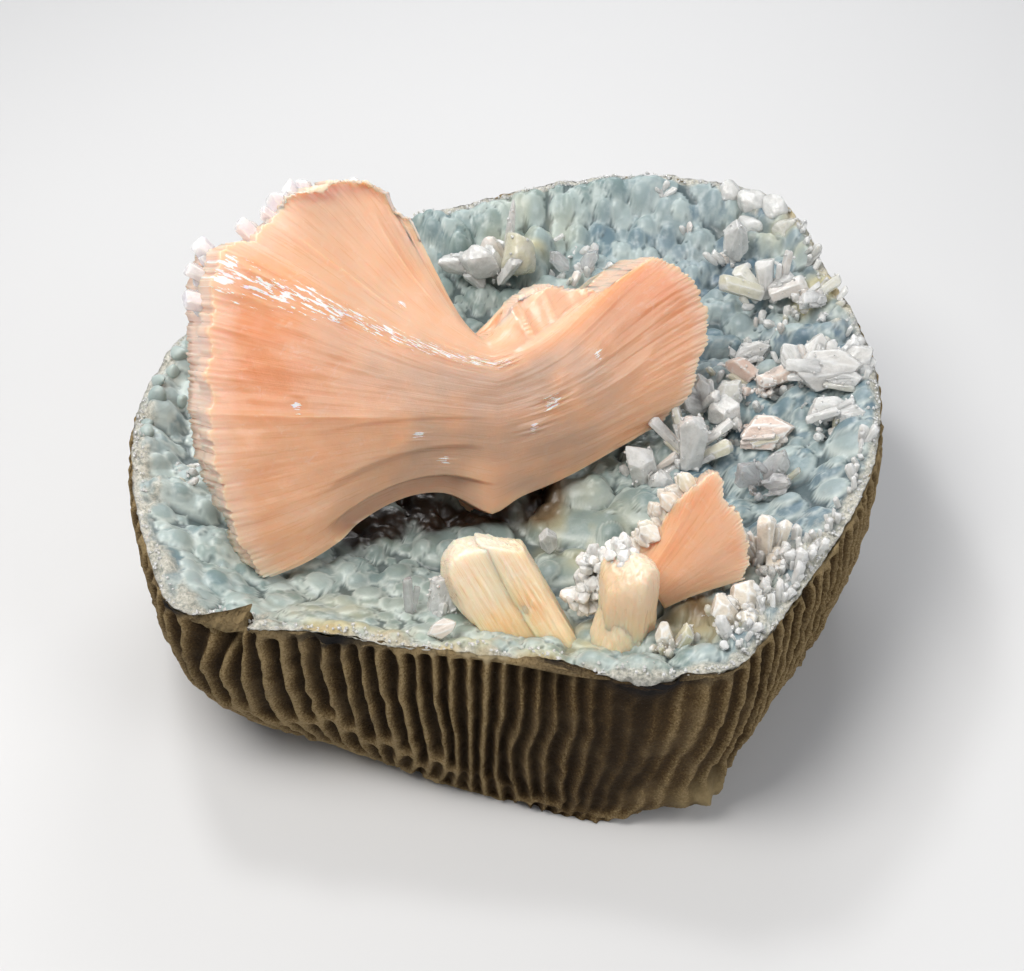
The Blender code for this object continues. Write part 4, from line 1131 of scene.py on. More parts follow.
def toothed(fan, x, y, across, reach, face, inward):
    """Moves points at the tips along their blades, so that the fan ends in teeth."""
    away = np.hypot(x - WAIST_MIDDLE[0], y - WAIST_MIDDLE[1])
    seed = fan.seed + (2 if face < 0 else 0)
    offset = tip_offset(across, fan.blades, seed, fan.lobes) * smooth(reach, 0.86, 1.0)
    own = random_steps(np.floor(across * fan.blades), fan.seed + 5)
    offset = offset - 1.3 * inward * (1 - inward) * own
    return x + (x - WAIST_MIDDLE[0]) / away * offset, y + (y - WAIST_MIDDLE[1]) / away * offset


def flake_and_glint_band(fan, across, reach, face):
    """Where the front has stepped flakes and painted white glints: along its ridge and at a few small spots.
    """
    band = bump(across, RIDGE_ACROSS + RIDGE_BEND * (1 - reach) ** 1.2, RIDGE_WIDTH) * (face > 0)
    band = band * (1 - smooth(reach, 0.05, 0.2) if fan is RIGHT_FAN else 1.0)
    for a, b, size in SPARKLES:
        band = np.maximum(band, 1.2 * (face > 0) * bump(across, a, size) * bump(fan.side * reach, b, size))
    return band


def fan_relief(fan, spot, across, reach, face, leafy, band):
    """Ridges, folds, swells and flakes of a fan's face, in millimetres."""
    x, y = spot[..., 0], spot[..., 1]
    along = fan.side * reach
    relief = striae(across, along, 7 if face < 0 else 6) * (0.04 + 0.15 * reach ** 3) * (1 - 0.8 * leafy)
    relief = relief + 0.8 * leafy * (1 - 2 * np.abs(noise(stack(x / 2.4 + y / 9.0, y / 14.0, 0.0), 1.0, 51)))
    between = np.abs(2 * (blade_steps(across, fan.blades) % 1) - 1) ** 2
    relief = relief - 0.22 * between * smooth(reach, 0.92, 1.0)
    relief = relief + layer(spot, *FAN_SWELLS) + layer(spot, *FAN_GRAIN)
    folds = 1 - np.abs(noise(stack(across * 13.0, along * 1.3, face), 1.0, 47))
    relief = relief + fan.folds * folds ** 4 * smooth(reach, 0.25, 0.7) * (1 - leafy)
    if face > 0:
        relief = relief + front_folds(fan, across, reach)
    flakes = noise(stack(across * 85.0, along * 7.5, 0.0), 1.0, fan.seed + 9)
    return relief + band * FLAKE_HEIGHT * np.round(flakes * FLAKE_STEPS) / FLAKE_STEPS


def fan_colours(fan, spot, across, reach, inward, lip, band):
    """The fields for the material of a fan, with painted shade on the lip under its front sheet."""
    middle, width, place, length = fan.deepest
    heat = bump(across, middle, width) * bump(reach, place, length)
    murk_and_shade = (1 - smooth(reach, 0.1, 0.9)) * (0.7 + layer(spot, *MURK_WAVES)) * (1 - smooth(across, 0.5, 0.75))
    fields = {"across": across, "reach": fan.side * reach,
              # Painted light: above the ridge, where the facet faces up, the colour is painted paler
              "deep": 0.34 + 0.6 * heat - 0.20 * smooth(across, 0.56, 0.66) + 0.4 * lip,
              "tip": smooth(reach, 0.90, 0.98) * (0.5 + 0.3 * inward),
              # The lip adds painted shade to the murk and deep fields: the strip under the front sheet is
              # painted dark
              "murk_and_shade": np.clip(murk_and_shade + lip, 0.0, 1.0), "painted_glint": band}
    return {key: np.broadcast_to(value, across.shape) for key, value in fields.items()}


def fan_surface(fan, across, reach, face, inward=0.0):
    """Points of the front (face 1) or back (face -1) of a fan, and the fields for its material.

    inward is how far the point is from the face towards the middle plane, as a share.
    """
    x, y = fan_line(fan, across, reach)
    x, y = toothed(fan, x, y, across, reach, face, inward)
    spot = stack(x, y, face * 10.0)
    leafy = back_leaf(across, reach) if fan is RIGHT_FAN else 0.0
    lip = lower_lip(across, reach) if fan is LEFT_FAN else 0.0
    band = flake_and_glint_band(fan, across, reach, face)
    blend = reach * reach * (3 - 2 * reach)
    thick = from_table(WAIST_HALVES[face], across) * (1 - blend)
    thick = thick + from_table(fan.halves[face], across) * blend
    relief = fan_relief(fan, spot, across, reach, face, leafy, band)
    thick = (thick + relief * (1 - inward)) * (1 - inward)
    points = np.array(WAIST) + np.multiply.outer(x, np.array(ALONG)) + np.multiply.outer(y, np.array(UPWARD))
    points = points + np.multiply.outer(face * thick, np.array(FACING))
    return points, fan_colours(fan, spot, across, reach, inward, lip, band)


def fan_loop(fan, reach, inward=0.0):
    """A closed loop round a fan at one reach: up the front from the lower side, and down the back."""
    across = np.linspace(0.0, 1.0, FAN_COLUMNS)
    front, front_fields = fan_surface(fan, across, np.full_like(across, reach), 1, inward)
    back, back_fields = fan_surface(fan, across[::-1], np.full_like(across, reach), -1, inward)
    fields = {key: np.concatenate([front_fields[key], back_fields[key]]) for key in front_fields}
    return np.vstack([front, back]), fields


def bow_tie(material):
    left = 1 - np.linspace(0.0, 1.0, LEFT_ROWS) ** FAN_ROW_POWER
    right = 1 - np.linspace(1.0, 0.0, RIGHT_ROWS)[1:] ** FAN_ROW_POWER
    loops = [fan_loop(LEFT_FAN, 1.0, inward) for inward in reversed(TIP_LOOPS)]
    loops += [fan_loop(LEFT_FAN, reach) for reach in left]
    loops += [fan_loop(RIGHT_FAN, reach) for reach in right]
    loops += [fan_loop(RIGHT_FAN, 1.0, inward) for inward in TIP_LOOPS]
    points = np.vstack([loop for loop, _ in loops])
    fields = {key: np.concatenate([values[key] for _, values in loops]) for key in loops[0][1]}
    faces = grid_faces(len(loops), 2 * FAN_COLUMNS, closed=True) + end_faces(len(loops), FAN_COLUMNS)
    return face_out(mesh_piece("bow_tie_fans", points, faces, material, fields))


# Crystals

SPHERES = {}
CRYSTAL_SHARP = 26.0        # higher is sharper
# How alike the distances of the two nearest planes are where a painted white edge highlight starts, and at
# its middle
EDGE_NEAR = (0.88, 0.99)
VIEW_SIDE = (0.0, -0.743, 0.669)
SKIN_SEEDS = 40
# How much the noise is squeezed across and along a crystal for its striae
WIDE_LINES = (2.6, 2.6, 0.16)
FINE_LINES = (6.0, 6.0, 0.3)


def lean_frame(foot, compass, lean, spin):
    """A place at foot whose +Z leans by `lean` degrees towards `compass`, turned by `spin` about itself."""
    turn = Matrix.Rotation(math.radians(compass), 4, "Z") @ Matrix.Rotation(math.radians(lean), 4, "Y")
    return Matrix.Translation(foot) @ turn @ Matrix.Rotation(math.radians(spin), 4, "Z")


def strewn_frame(foot, leans, draw):
    """A place at foot that leans anyhow, within those degrees."""
    return lean_frame(foot, draw.uniform(0, 360), draw.uniform(*leans), draw.uniform(0, 180))


def facing_frame(place, grows, toward=VIEW_SIDE):
    """A place whose +Z grows that way and whose +Y looks, as far as it can, towards that side.

    Seen from that side, its +X is on the left.
    """
    z = Vector(grows).normalized()
    x = Vector(toward).cross(z).normalized()
    y = z.cross(x)
    return Matrix.Translation(place) @ Matrix((x, y, z)).transposed().to_4x4()


def grown_frame(place, grows):
    """A place whose +Z grows that way."""
    return Matrix.Translation(place) @ grows.to_track_quat("Z", "Y").to_matrix().to_4x4()


def moved(points, place):
    """Points, in millimetres, taken to a place."""
    place = np.array(place)
    return points @ place[:3, :3].T + place[:3, 3]


def sphere(detail):
    """Directions and triangles of an even sphere."""
    if detail not in SPHERES:
        bm = bmesh.new()
        bmesh.ops.create_icosphere(bm, subdivisions=detail, radius=1.0)
        bm.verts.index_update()
        directions = np.array([vert.co for vert in bm.verts])
        SPHERES[detail] = directions, np.array([[vert.index for vert in face.verts] for face in bm.faces])
        bm.free()
    return SPHERES[detail]


def faceted(planes, size, detail, sharp=CRYSTAL_SHARP, rough=0.0, seed=0):
    """Points, faces and nearness to an edge of a body between planes, its edges rounded.

    A plane is its normal and its distance. size is roughly the body's half lengths, and rough how far its
    skin is striated along +Z, in millimetres.
    """
    directions, faces = sphere(detail)
    directions = directions * size
    directions = directions / np.linalg.norm(directions, axis=1)[:, None]
    normals = np.array([plane[:3] for plane in planes], float)
    normals /= np.linalg.norm(normals, axis=1)[:, None]
    gaps = np.array([plane[3] for plane in planes])
    near = np.maximum(directions @ normals.T, 0.0) / gaps
    points = directions * ((near ** sharp).sum(axis=1) ** (-1 / sharp))[:, None]
    second, first = np.sort(near, axis=1)[:, -2:].T
    edge = smooth(second / first, *EDGE_NEAR)
    if rough:
        lines = noise(points * WIDE_LINES, 1.0, seed) + 0.6 * noise(points * FINE_LINES, 1.0, seed)
        points = points + directions * (rough * (lines + fractal(points, 2.4, 3, seed)))[:, None]
    return points, faces, edge


def chunk(length, width, thick, draw, detail=4):
    """A stout crystal that stands on its foot."""
    half = length / 2
    planes = [(0, 0, -1, half), (draw.uniform(-0.5, 0.5), draw.uniform(-0.5, 0.5), 1, 0.95 * half)]
    for step in range(6):
        turn = math.radians(60 * step + draw.uniform(-16, 16))
        planes.append((math.cos(turn), math.sin(turn) * width / thick, draw.uniform(-0.12, 0.05),
                       0.5 * min(width, thick) * draw.uniform(0.9, 1.15)))
    for _ in range(3):
        turn = draw.uniform(0, math.tau)
        planes.append((math.cos(turn), math.sin(turn), draw.uniform(0.8, 1.3), 0.82 * half))
    size = (width / 2, thick / 2, half)
    points, faces, edge = faceted(planes, size, detail, rough=0.05, seed=draw.randrange(SKIN_SEEDS))
    return points + [0, 0, half], faces, edge


def shaped_chunk(size, shape, draw, detail):
    """A stout crystal whose length, width and thickness are those shares of the size."""
    return chunk(*(share * size for share in shape), draw, detail)


def plate(length, width, thick, draw, detail=5):
    """A flat pointed crystal that stands on its foot, with its face to +Y."""
    half = length / 2
    middle = (length + width) / 2
    planes = [(0, 1, 0, thick / 2), (0, -1, 0, thick / 2), (0, 0, 1, 0.97 * half), (0, 0, -1, 0.97 * half)]
    for side in (-1, 1):
        planes.append((side, 0, draw.uniform(-0.1, 0.25), 0.48 * width))
        for end, least, most in ((1.0, 0.34, 0.42), (-1.0, 0.38, 0.44)):
            planes.append((side * draw.uniform(0.8, 1.3), 0.25, end, draw.uniform(least, most) * middle))
        planes.append((side * 0.5, 1.0, draw.uniform(-0.2, 0.2), 0.62 * thick))
    size = (width / 2, thick / 1.6, half)
    points, faces, edge = faceted(planes, size, detail, rough=0.08, seed=draw.randrange(SKIN_SEEDS))
    return points + [0, 0, half], faces, edge


def lump(length, width, thick, draw, sharp=9.0, knobs=0.14):
    """A knobbly rounded body that stands on its foot."""
    half = length / 2
    planes = [(*(draw.gauss(0, 1) for _ in range(3)), draw.uniform(0.8, 1.1)) for _ in range(26)]
    points, faces, edge = faceted(planes, (1, 1, 1), 4, sharp)
    swelling = 1 + knobs * fractal(points, 0.9, 3, draw.randrange(SKIN_SEEDS))
    points = points * [width / 2, thick / 2, half] * swelling[:, None]
    return points + [0, 0, half], faces, 0.4 * edge


def grain(size):
    """Points and faces of a tiny six-sided crystal that is pointed at both ends."""
    turn = np.arange(6) * math.tau / 6
    ring = stack(*polar(0.5, turn), 0.35)
    points = np.vstack([ring, [[0, 0, -0.4], [0, 0, 1.1]]]) * size
    faces = [[a, (a + 1) % 6, 7] for a in range(6)] + [[(a + 1) % 6, a, 6] for a in range(6)]
    return points, np.array(faces)


class Heap:
    """Many small bodies gathered into one mesh, each with its own tone from 0 to 1."""

    def __init__(self):
        self.points = []
        self.faces = []
        self.tones = []
        self.edges = []
        self.count = 0

    def add(self, shape, place, tone):
        """Adds a shape: its points, its faces and, from 0 to 1, how near each point is to an edge."""
        points, faces, *edge = shape
        self.edges.append(edge[0] if edge else np.full(len(points), 0.5))
        self.points.append(moved(points, place))
        self.faces.append(faces + self.count)
        self.tones.append(np.full(len(points), tone))
        self.count += len(points)

    def frost(self, count, draw):
        """Scatters tiny crystals over everything gathered so far."""
        points, faces = np.vstack(self.points), np.vstack(self.faces)
        corners = points[faces]
        normals = np.cross(corners[:, 1] - corners[:, 0], corners[:, 2] - corners[:, 0])
        areas = np.linalg.norm(normals, axis=1)
        picks = np.random.default_rng(draw.randrange(9999)).choice(len(faces), count, p=areas / areas.sum())
        for pick in picks:
            a, b = sorted((draw.random(), draw.random()))
            spot = corners[pick][0] * a + corners[pick][1] * (b - a) + corners[pick][2] * (1 - b)
            wobble = [draw.gauss(0, 0.45) for _ in range(3)]
            out = Vector(normals[pick] / (areas[pick] + 1e-9) + wobble)
            place = grown_frame(Vector(spot), out)
            self.add(grain(draw.uniform(*GRAIN_SIZES)), place, draw.uniform(0.2, 0.8))

    def piece(self, name, material):
        faces = np.vstack(self.faces).tolist()
        tones = np.concatenate(self.tones)
        fields = {"tone": tones, "edge": np.concatenate(self.edges)}
        return mesh_piece(name, np.vstack(self.points), faces, material, fields, False)


def large_crystal(name, place, planes, size, material, deep, seed, tip=0.5, sharp=40.0, rough=0.12,
                  detail=6):
    """A striated crystal as a piece; `deep` gives its colour depth from its own points."""
    points, faces, _ = faceted(planes, size, detail, sharp, rough, seed)
    zero = np.zeros(len(points))
    half = size[2]
    fields = {"across": 0.5 + 0.5 * points[:, 0] / size[0] + 0.13 * points[:, 1] / size[1],
              "reach": 0.5 + 0.5 * points[:, 2] / half, "deep": np.clip(deep(points), 0.0, 1.0),
              "tip": tip * smooth(points[:, 2], 0.72 * half, 0.98 * half), "murk_and_shade": zero, "painted_glint": zero}
    return face_out(mesh_piece(name, moved(points, place), faces.tolist(), material, fields))


# Groups of small crystals: foot (x, y), radius and rise of the knob they grow from, the material, the habit,
# then each crystal as (dx, dy from the foot, compass it leans to, lean, length, width, thickness)
GROUPS = {
    "lozenge_crystal": ((43.0, 41.0), (1.6, 1.2), "milky", "plate", (
        (0.3, 0, 200, 4, 9.6, 4.6, 2.2),)),
    "back_right_cluster": ((47.5, 29.5), (3.0, 2.0), "milky", "chunk", (
        (-0.5, 0, 185, 70, 8.0, 3.4, 3.0), (0.3, 0.8, 110, 12, 6.5, 3.2, 2.8),
        (1.0, -0.5, 5, 66, 6.5, 3.4, 3.0),
        (2.6, 0.5, 50, 18, 8.5, 2.0, 1.4), (-1.2, 0.8, 150, 46, 5.5, 3.0, 2.6),
        (1.4, 0.6, 20, 40, 4.6, 3.4, 2.4))),
    "rim_blade": ((57.0, 25.0), (1.6, 1.4), "milky", "chunk", (
        (-2.4, -1.2, 30, 72, 7.0, 2.6, 1.6), (0, 0, 215, 78, 4.6, 4.2, 2.4))),
    "rim_leaf_cluster": ((56.5, 6.5), (3.2, 1.8), "milky", "plate", (
        (-7.2, -1.5, 2, 78, 14.0, 6.8, 3.0), (2.2, 0.0, 25, 58, 7.0, 6.0, 2.4),
        (-2.0, 1.8, 75, 48, 5.6, 5.0, 2.4),
        (-4.5, 1.0, 130, 60, 5.0, 4.6, 2.0), (-1.0, -2.6, 350, 80, 8.0, 3.0, 1.8))),
    "thin_leaf": ((44.0, 17.5), (1.4, 1.0), "milky", "plate", (
        (-3.2, 0, 8, 74, 7.6, 3.6, 1.8), (1.4, 0.6, 30, 50, 3.4, 2.6, 1.4))),
    "blush_tablets": ((46.0, 11.0), (2.0, 1.4), "blush", "chunk", (
        (-1.8, 0.5, 150, 60, 4.6, 4.4, 3.0), (0.8, 0, 350, 56, 5.0, 4.2, 2.8),
        (0, -0.8, 270, 40, 4.4, 3.8, 2.6))),
    "middle_cluster": ((36.5, 4.0), (2.4, 1.8), "milky", "plate", (
        (-1.0, 0, 120, 24, 7.0, 4.4, 2.2), (0.5, -1.0, 300, 40, 6.5, 5.6, 3.4),
        (-0.8, 0.5, 190, 56, 6.0, 3.6, 2.0),
        (0.8, 0.5, 30, 40, 6.4, 4.4, 2.2))),
    "blush_lens": ((45.5, -4.0), (2.2, 1.6), "blush", "plate", (
        (-4.8, 0, 2, 78, 10.0, 6.0, 3.0), (-4.4, -1.6, 2, 84, 8.0, 2.0, 1.4))),
    "coated_tablets": ((56.5, -3.0), (2.2, 1.4), "milky", "plate", (
        (-4.6, 0.6, 8, 78, 8.0, 4.4, 2.2), (0.5, 0, 350, 66, 5.4, 4.4, 2.2))),
    "white_block_cluster": ((24.8, -8.2), (2.0, 1.6), "milky", "chunk", (
        (-0.3, 0, 190, 12, 6.4, 4.8, 4.2), (1.2, -1.2, 300, 40, 3.8, 3.6, 3.2),
        (2.2, 0.5, 20, 60, 5.4, 3.2, 2.4))),
    "column_cluster": ((32.0, -7.5), (2.2, 1.8), "milky", "chunk", (
        (0, 0, 90, 6, 9.4, 4.2, 3.8), (-0.8, 1.8, 155, 50, 8.0, 1.8, 1.5), (0.6, 1.8, 25, 56, 8.5, 1.8, 1.5),
        (-0.5, 2.2, 110, 44, 7.5, 1.8, 1.4), (1.5, 0, 5, 62, 6.0, 2.6, 1.8))),
    "small_leaf_cluster": ((44.0, -14.5), (1.8, 1.4), "clear", "plate", (
        (-0.8, 0, 190, 38, 5.6, 5.2, 1.3), (0.4, 0.4, 30, 34, 6.6, 4.2, 1.3),
        (0, -0.8, 345, 66, 4.6, 3.6, 1.3))),
    "side_spray": ((42.6, -34.0), (2.2, 1.8), "pearl", "chunk", (
        (0, 0, 100, 8, 8.0, 3.6, 2.6), (-1.6, 0, 165, 30, 6.0, 2.4, 1.8), (1.2, 0, 50, 24, 6.0, 2.6, 2.0),
        (0.5, -1.4, 330, 60, 5.0, 4.4, 2.8))),
    "corner_cluster": ((36.6, -48.8), (2.0, 1.6), "pearl", "chunk", (
        (-0.6, 0, 200, 34, 4.4, 4.2, 3.6), (0.8, 1.4, 70, 30, 4.4, 4.4, 3.4),
        (0.5, -0.5, 310, 45, 3.4, 3.4, 2.8))),
    "corner_nub": ((26.6, -52.0), (1.2, 1.2), "pearl", "chunk", (
        (-0.6, 0, 170, 20, 3.4, 2.8, 2.4), (0.9, 0, 20, 30, 3.0, 2.6, 2.2))),
    "back_left_cluster": ((-2.0, 38.5), (3.4, 2.2), "milky", "lump", (
        (-0.6, -1.0, 200, 40, 7.5, 6.8, 6.0), (0.0, 1.4, 150, 14, 7.0, 4.8, 4.4),
        (-2.8, 0.0, 200, 66, 8.5, 4.6, 4.4),
        (2.6, -0.5, 0, 20, 9.0, 7.0, 6.4), (1.8, 2.0, 60, 16, 13.0, 1.8, 1.4))),
    "back_spray": ((13.0, 40.0), (1.8, 1.4), "clear", "plate", (
        (-0.8, 0, 170, 44, 5.0, 2.8, 1.4), (1.0, 0, 25, 40, 5.0, 2.8, 1.4))),
    "front_needles": ((-15.4, -42.4), (1.2, 1.0), "clear", "chunk", (
        (0, 0, 92, 14, 6.0, 1.7, 1.3), (0.5, 0.2, 70, 34, 3.6, 1.3, 1.0))),
    "front_leaf": ((-9.6, -52.6), (1.2, 0.9), "milky", "plate", (
        (-2.6, 0.0, 24, 76, 5.6, 2.6, 1.5),)),
    "front_wedge": ((7.9, -25.8), (1.0, 0.9), "milky", "plate", (
        (-0.3, 0, 150, 6, 4.8, 3.0, 1.6),)),
}
GROUP_SEED = 61
ROOT_SINK = 1.0
KNOB_SHARE = 0.8
KNOB_RISE = 0.55
BARE_GROUPS = ("front_needles", "front_leaf", "front_wedge", "back_spray")
BLUSH_GROUPS = ("blush_tablets", "blush_lens", "corner_cluster", "corner_nub")
LUMP_TONES = (0.5, 0.97, 0.3, 0.02)
SHAPES = {"plate": plate, "chunk": chunk, "lump": lump}
FOOT_COUNT = 9
FOOT_SIZES = (0.8, 2.4)
FOOT_LEANS = (10, 75)
FOOT_SHAPE = (1.4, 0.8, 0.6)
GRAIN_SIZES = (0.25, 0.7)
GROUP_GRAINS = 60


def crystal_beside(heap, foot, length, width, thick, draw):
    """A thinner crystal that grows along a large one."""
    beside = Matrix.Translation((draw.uniform(-0.5, 0.5) * width, draw.uniform(-0.2, 0.5) * thick, 0.0))
    tilt = Matrix.Rotation(math.radians(draw.uniform(-14, 14)), 4, draw.choice("XY"))
    share = draw.uniform(0.4, 0.85)
    shape = chunk(share * length, draw.uniform(0.3, 0.5) * width, draw.uniform(0.4, 0.7) * thick, draw, 3)
    heap.add(shape, foot @ beside @ tilt, draw.random())


def cluster(heap, crystals, spot, base, rise, draw, habit, bare):
    """A group of crystals on its knob, with thinner ones along each and tiny ones round the foot."""
    x, y = spot
    for number, (dx, dy, compass, lean, length, width, thick) in enumerate(crystals):
        turn = math.radians(lean)
        start = base + KNOB_RISE * rise * math.sin(turn) - ROOT_SINK * math.cos(turn)
        length += ROOT_SINK * math.cos(turn)
        grows = lean_frame((0, 0, 0), compass, lean, 0).col[2][:3]
        foot = facing_frame((x + dx, y + dy, start), grows)
        tone = LUMP_TONES[number % len(LUMP_TONES)] if habit == "lump" else draw.random()
        heap.add(SHAPES[habit](length, width, thick, draw), foot, tone)
        for _ in range(0 if bare else 2):
            crystal_beside(heap, foot, length, width, thick, draw)
    if bare:
        return
    for _ in range(FOOT_COUNT):
        compass = draw.uniform(0, 360)
        dx, dy = polar(draw.uniform(0.4, 3.4), math.radians(compass))
        size = draw.uniform(*FOOT_SIZES)
        start = (x + dx, y + dy, base - 0.9 - 0.2 * size)
        foot = lean_frame(start, compass, draw.uniform(*FOOT_LEANS), draw.uniform(0, 180))
        heap.add(shaped_chunk(size, FOOT_SHAPE, draw, 2), foot, draw.random())
    heap.frost(GROUP_GRAINS, draw)


def crystal_groups(height, materials):
    draw = random.Random(GROUP_SEED)
    turns = np.radians(np.arange(0, 360, 60))
    for name, ((x, y), (radius, rise), look, habit, crystals) in GROUPS.items():
        ring = stack(*polar(KNOB_SHARE * radius, turns)) + [x, y]
        base = max(height(np.vstack([ring, [(x, y)]])))
        heap = Heap()
        cluster(heap, crystals, (x, y), base, rise, draw, habit, name in BARE_GROUPS)
        slot = "blush_crystal" if name in BLUSH_GROUPS else "clear_crystal"
        keep(heap.piece(name + "_crystals", materials[look]), slot, name)


# Large crystals at the front

BLOCK_GROWS = (-0.50, 0.42, 0.757)
# The two blocks: their middle, half sizes, sharpness, roughness, noise seed, their colour's depth (at the
# middle, along x and z, and the noise's height, size and seed) and their planes
BLOCKS = {
    "block_main": ((4.3, -43.0, 36.0), (3.8, 4.6, 11.6), 40.0, 0.2, 3, (0.24, 0.05, -0.03, 0.2, 5.0, 3), (
        (0, 1, 0.03, 4.4), (0, -1, 0, 4.4), (1, 0.1, 0, 3.1), (-1, 0.06, 0, 3.0), (0.75, 0.66, 0.1, 5.1),
        (-0.78, 0.62, 0, 4.2), (-0.884, 0.08, 1, 7.8), (0, 0.8, 0.85, 12.6), (0.8, 0, 0.6, 9.8),
        (0, 0, -1, 11.5))),
    "block_side": ((-2.1, -43.6, 34.6), (5.0, 4.6, 11.0), 24.0, 0.16, 4, (0.26, 0.0, -0.07, 0.15, 4.0, 5), (
        (0.08, 1, 0.04, 4.6), (0, -1, 0, 4.0), (-1, 0, 0, 6.0), (-0.55, 0.1, 1, 10.4), (0.35, 0.1, 1, 10.7),
        (1.57, 0.2, 1, 7.7), (1, 0.2, 0.155, 5.2), (0.94, 0.0, -0.34, 3.8), (0.7, 0.7, 0.05, 5.4),
        (-0.1, 0.8, 0.75, 10.8), (0, 0, -1, 10.8))),
}
WEDGE_SEED = 5
WEDGE_FOOT = Vector((-11.2, -42.6, 29.4))
WEDGE_GROWS = Vector((0.33, 0.30, 0.90))
WEDGE_SIZE = (11.0, 4.4, 2.6)
WEDGE_NEEDLES = 12
NEEDLE_LENGTHS = (4.0, 8.5)
NEEDLE_SHAPE = (1.0, 0.3, 0.22)
WEDGE_GRAINS = 200


def depth_finder(middle, across, along, height=0.0, size=1.0, seed=0):
    """A function that gives a crystal's depth of colour at its own points."""
    return lambda spot: middle + across * spot[:, 0] + along * spot[:, 2] + height * noise(spot, size, seed)


def block_crystal(materials):
    for name, (middle, size, sharp, rough, seed, depths, planes) in BLOCKS.items():
        place = facing_frame(middle, BLOCK_GROWS)
        piece = large_crystal(name, place, planes, size, materials["cream"], depth_finder(*depths), seed,
                              sharp=sharp, rough=rough)
        keep(piece, "peach_crystal", "block_crystal")
    draw = random.Random(WEDGE_SEED)
    heap = Heap()
    heap.add(plate(*WEDGE_SIZE, draw), facing_frame(WEDGE_FOOT, WEDGE_GROWS), 0.5)
    for _ in range(WEDGE_NEEDLES):
        foot = WEDGE_FOOT + Vector([draw.uniform(-1.6, 1.8) for _ in range(2)] + [0.0])
        grows = WEDGE_GROWS + Vector([draw.gauss(0, 0.16) for _ in range(3)])
        needle = shaped_chunk(draw.uniform(*NEEDLE_LENGTHS), NEEDLE_SHAPE, draw, 3)
        heap.add(needle, facing_frame(foot, grows), draw.uniform(0.3, 0.7))
    heap.frost(WEDGE_GRAINS, draw)
    keep(heap.piece("block_wedge", materials["milky"]), "clear_crystal", "block_crystal")


FAN_FOOT = Vector((24.0, -43.9, 31.2))
FAN_WAIST = ((1.7, 2.3), (-3.5, 11.2))
FAN_EDGE = ((13.9, 6.7), (14.9, 9.7), (14.5, 13.0), (13.3, 17.2), (11.6, 19.8), (10.4, 23.5), (9.1, 24.4),
            (6.9, 23.1), (3.4, 20.4), (0.8, 15.6), (-1.6, 13.0), (-2.9, 11.9))
FAN_PLANE = np.array(((1, 0, 0), (0, 0.6, 0.8), (0, -0.8, 0.6)))
FAN_HALF = ((0.0, 1.0), (0.25, 3.4), (0.6, 3.8), (1.0, 1.0))
FAN_BEND = 0.9
FRONT_COLUMNS = 170
FRONT_ROWS = 60
FRONT_ROW_POWER = 0.8
FRONT_BLADES = 60
FRONT_TIP_LOOPS = (0.5, 0.88)


def front_blades(reach, face, inward):
    """A row of points across the small fan's front (face 1) or back (face -1), and its fields."""
    across = np.linspace(0.0, 1.0, FRONT_COLUMNS)[::face]
    low, high = np.array(FAN_WAIST)
    start = low + np.multiply.outer(across, high - low)
    end = stack(*along_edge(FAN_EDGE, across))
    bend = FAN_BEND * math.sin(math.pi * reach) * stack(across - 0.2, 0.4 - across)
    steps = across * FRONT_BLADES
    tooth = np.abs(2 * (steps % 1) - 1) ** 3
    own = random_steps(np.floor(steps), 71 + face, -0.4, 0.3)
    offset = (own + 0.7 * strip_noise(steps / 6.0, 74) - 0.4 * tooth) * smooth(reach, 0.84, 1.0)
    away = (end - start) / np.linalg.norm(end - start, axis=1)[:, None]
    flat = start + reach * (end - start) + bend + away * offset[:, None]
    thick = from_table(FAN_HALF, across) * (0.8 + 0.3 * reach)
    thick = thick + striae(across * 0.4, np.full_like(across, reach), 8 + face) * (0.05 + 0.10 * reach)
    thick = (thick - 0.3 * tooth * smooth(reach, 0.85, 1.0)) * (1 - inward)
    points = np.array(FAN_FOOT) + flat @ FAN_PLANE[:2] + np.multiply.outer(face * thick, FAN_PLANE[2])
    fields = {"across": across * 0.3, "reach": reach, "deep": 0.12 + 0.35 * bump(across, 0.55, 0.25),
              "tip": 0.5 * smooth(reach, 0.88, 1.0), "murk_and_shade": 0.0, "painted_glint": 0.0}
    return points, {key: np.broadcast_to(value, across.shape) for key, value in fields.items()}


def front_fan(material):
    """The small fan, which spreads from its foot at the lower left to a brush of blades on the right."""
    loops = [(reach, 0.0) for reach in np.linspace(0.0, 1.0, FRONT_ROWS) ** FRONT_ROW_POWER]
    loops += [(1.0, inward) for inward in FRONT_TIP_LOOPS]
    rows = [front_blades(reach, face, inward) for reach, inward in loops for face in (1, -1)]
    fields = {key: np.concatenate([values[key] for _, values in rows]) for key in rows[0][1]}
    points = np.vstack([row for row, _ in rows])
    faces = grid_faces(len(loops), 2 * FRONT_COLUMNS, closed=True) + end_faces(len(loops), FRONT_COLUMNS)
    return face_out(mesh_piece("front_fan", points, faces, material, fields))


COLUMN_SIDES = ((0, 3.9), (52, 4.1), (112, 3.7), (180, 4.0), (236, 4.2), (300, 3.8))
COLUMN_WIDTH = 4.4          # half width that those distances are for
COLUMN_SPIN = 25
COLUMN_SEED = 11
COLUMN_DEPTHS = (0.45, 0.0, -0.05, 0.25, 4.0, 5)
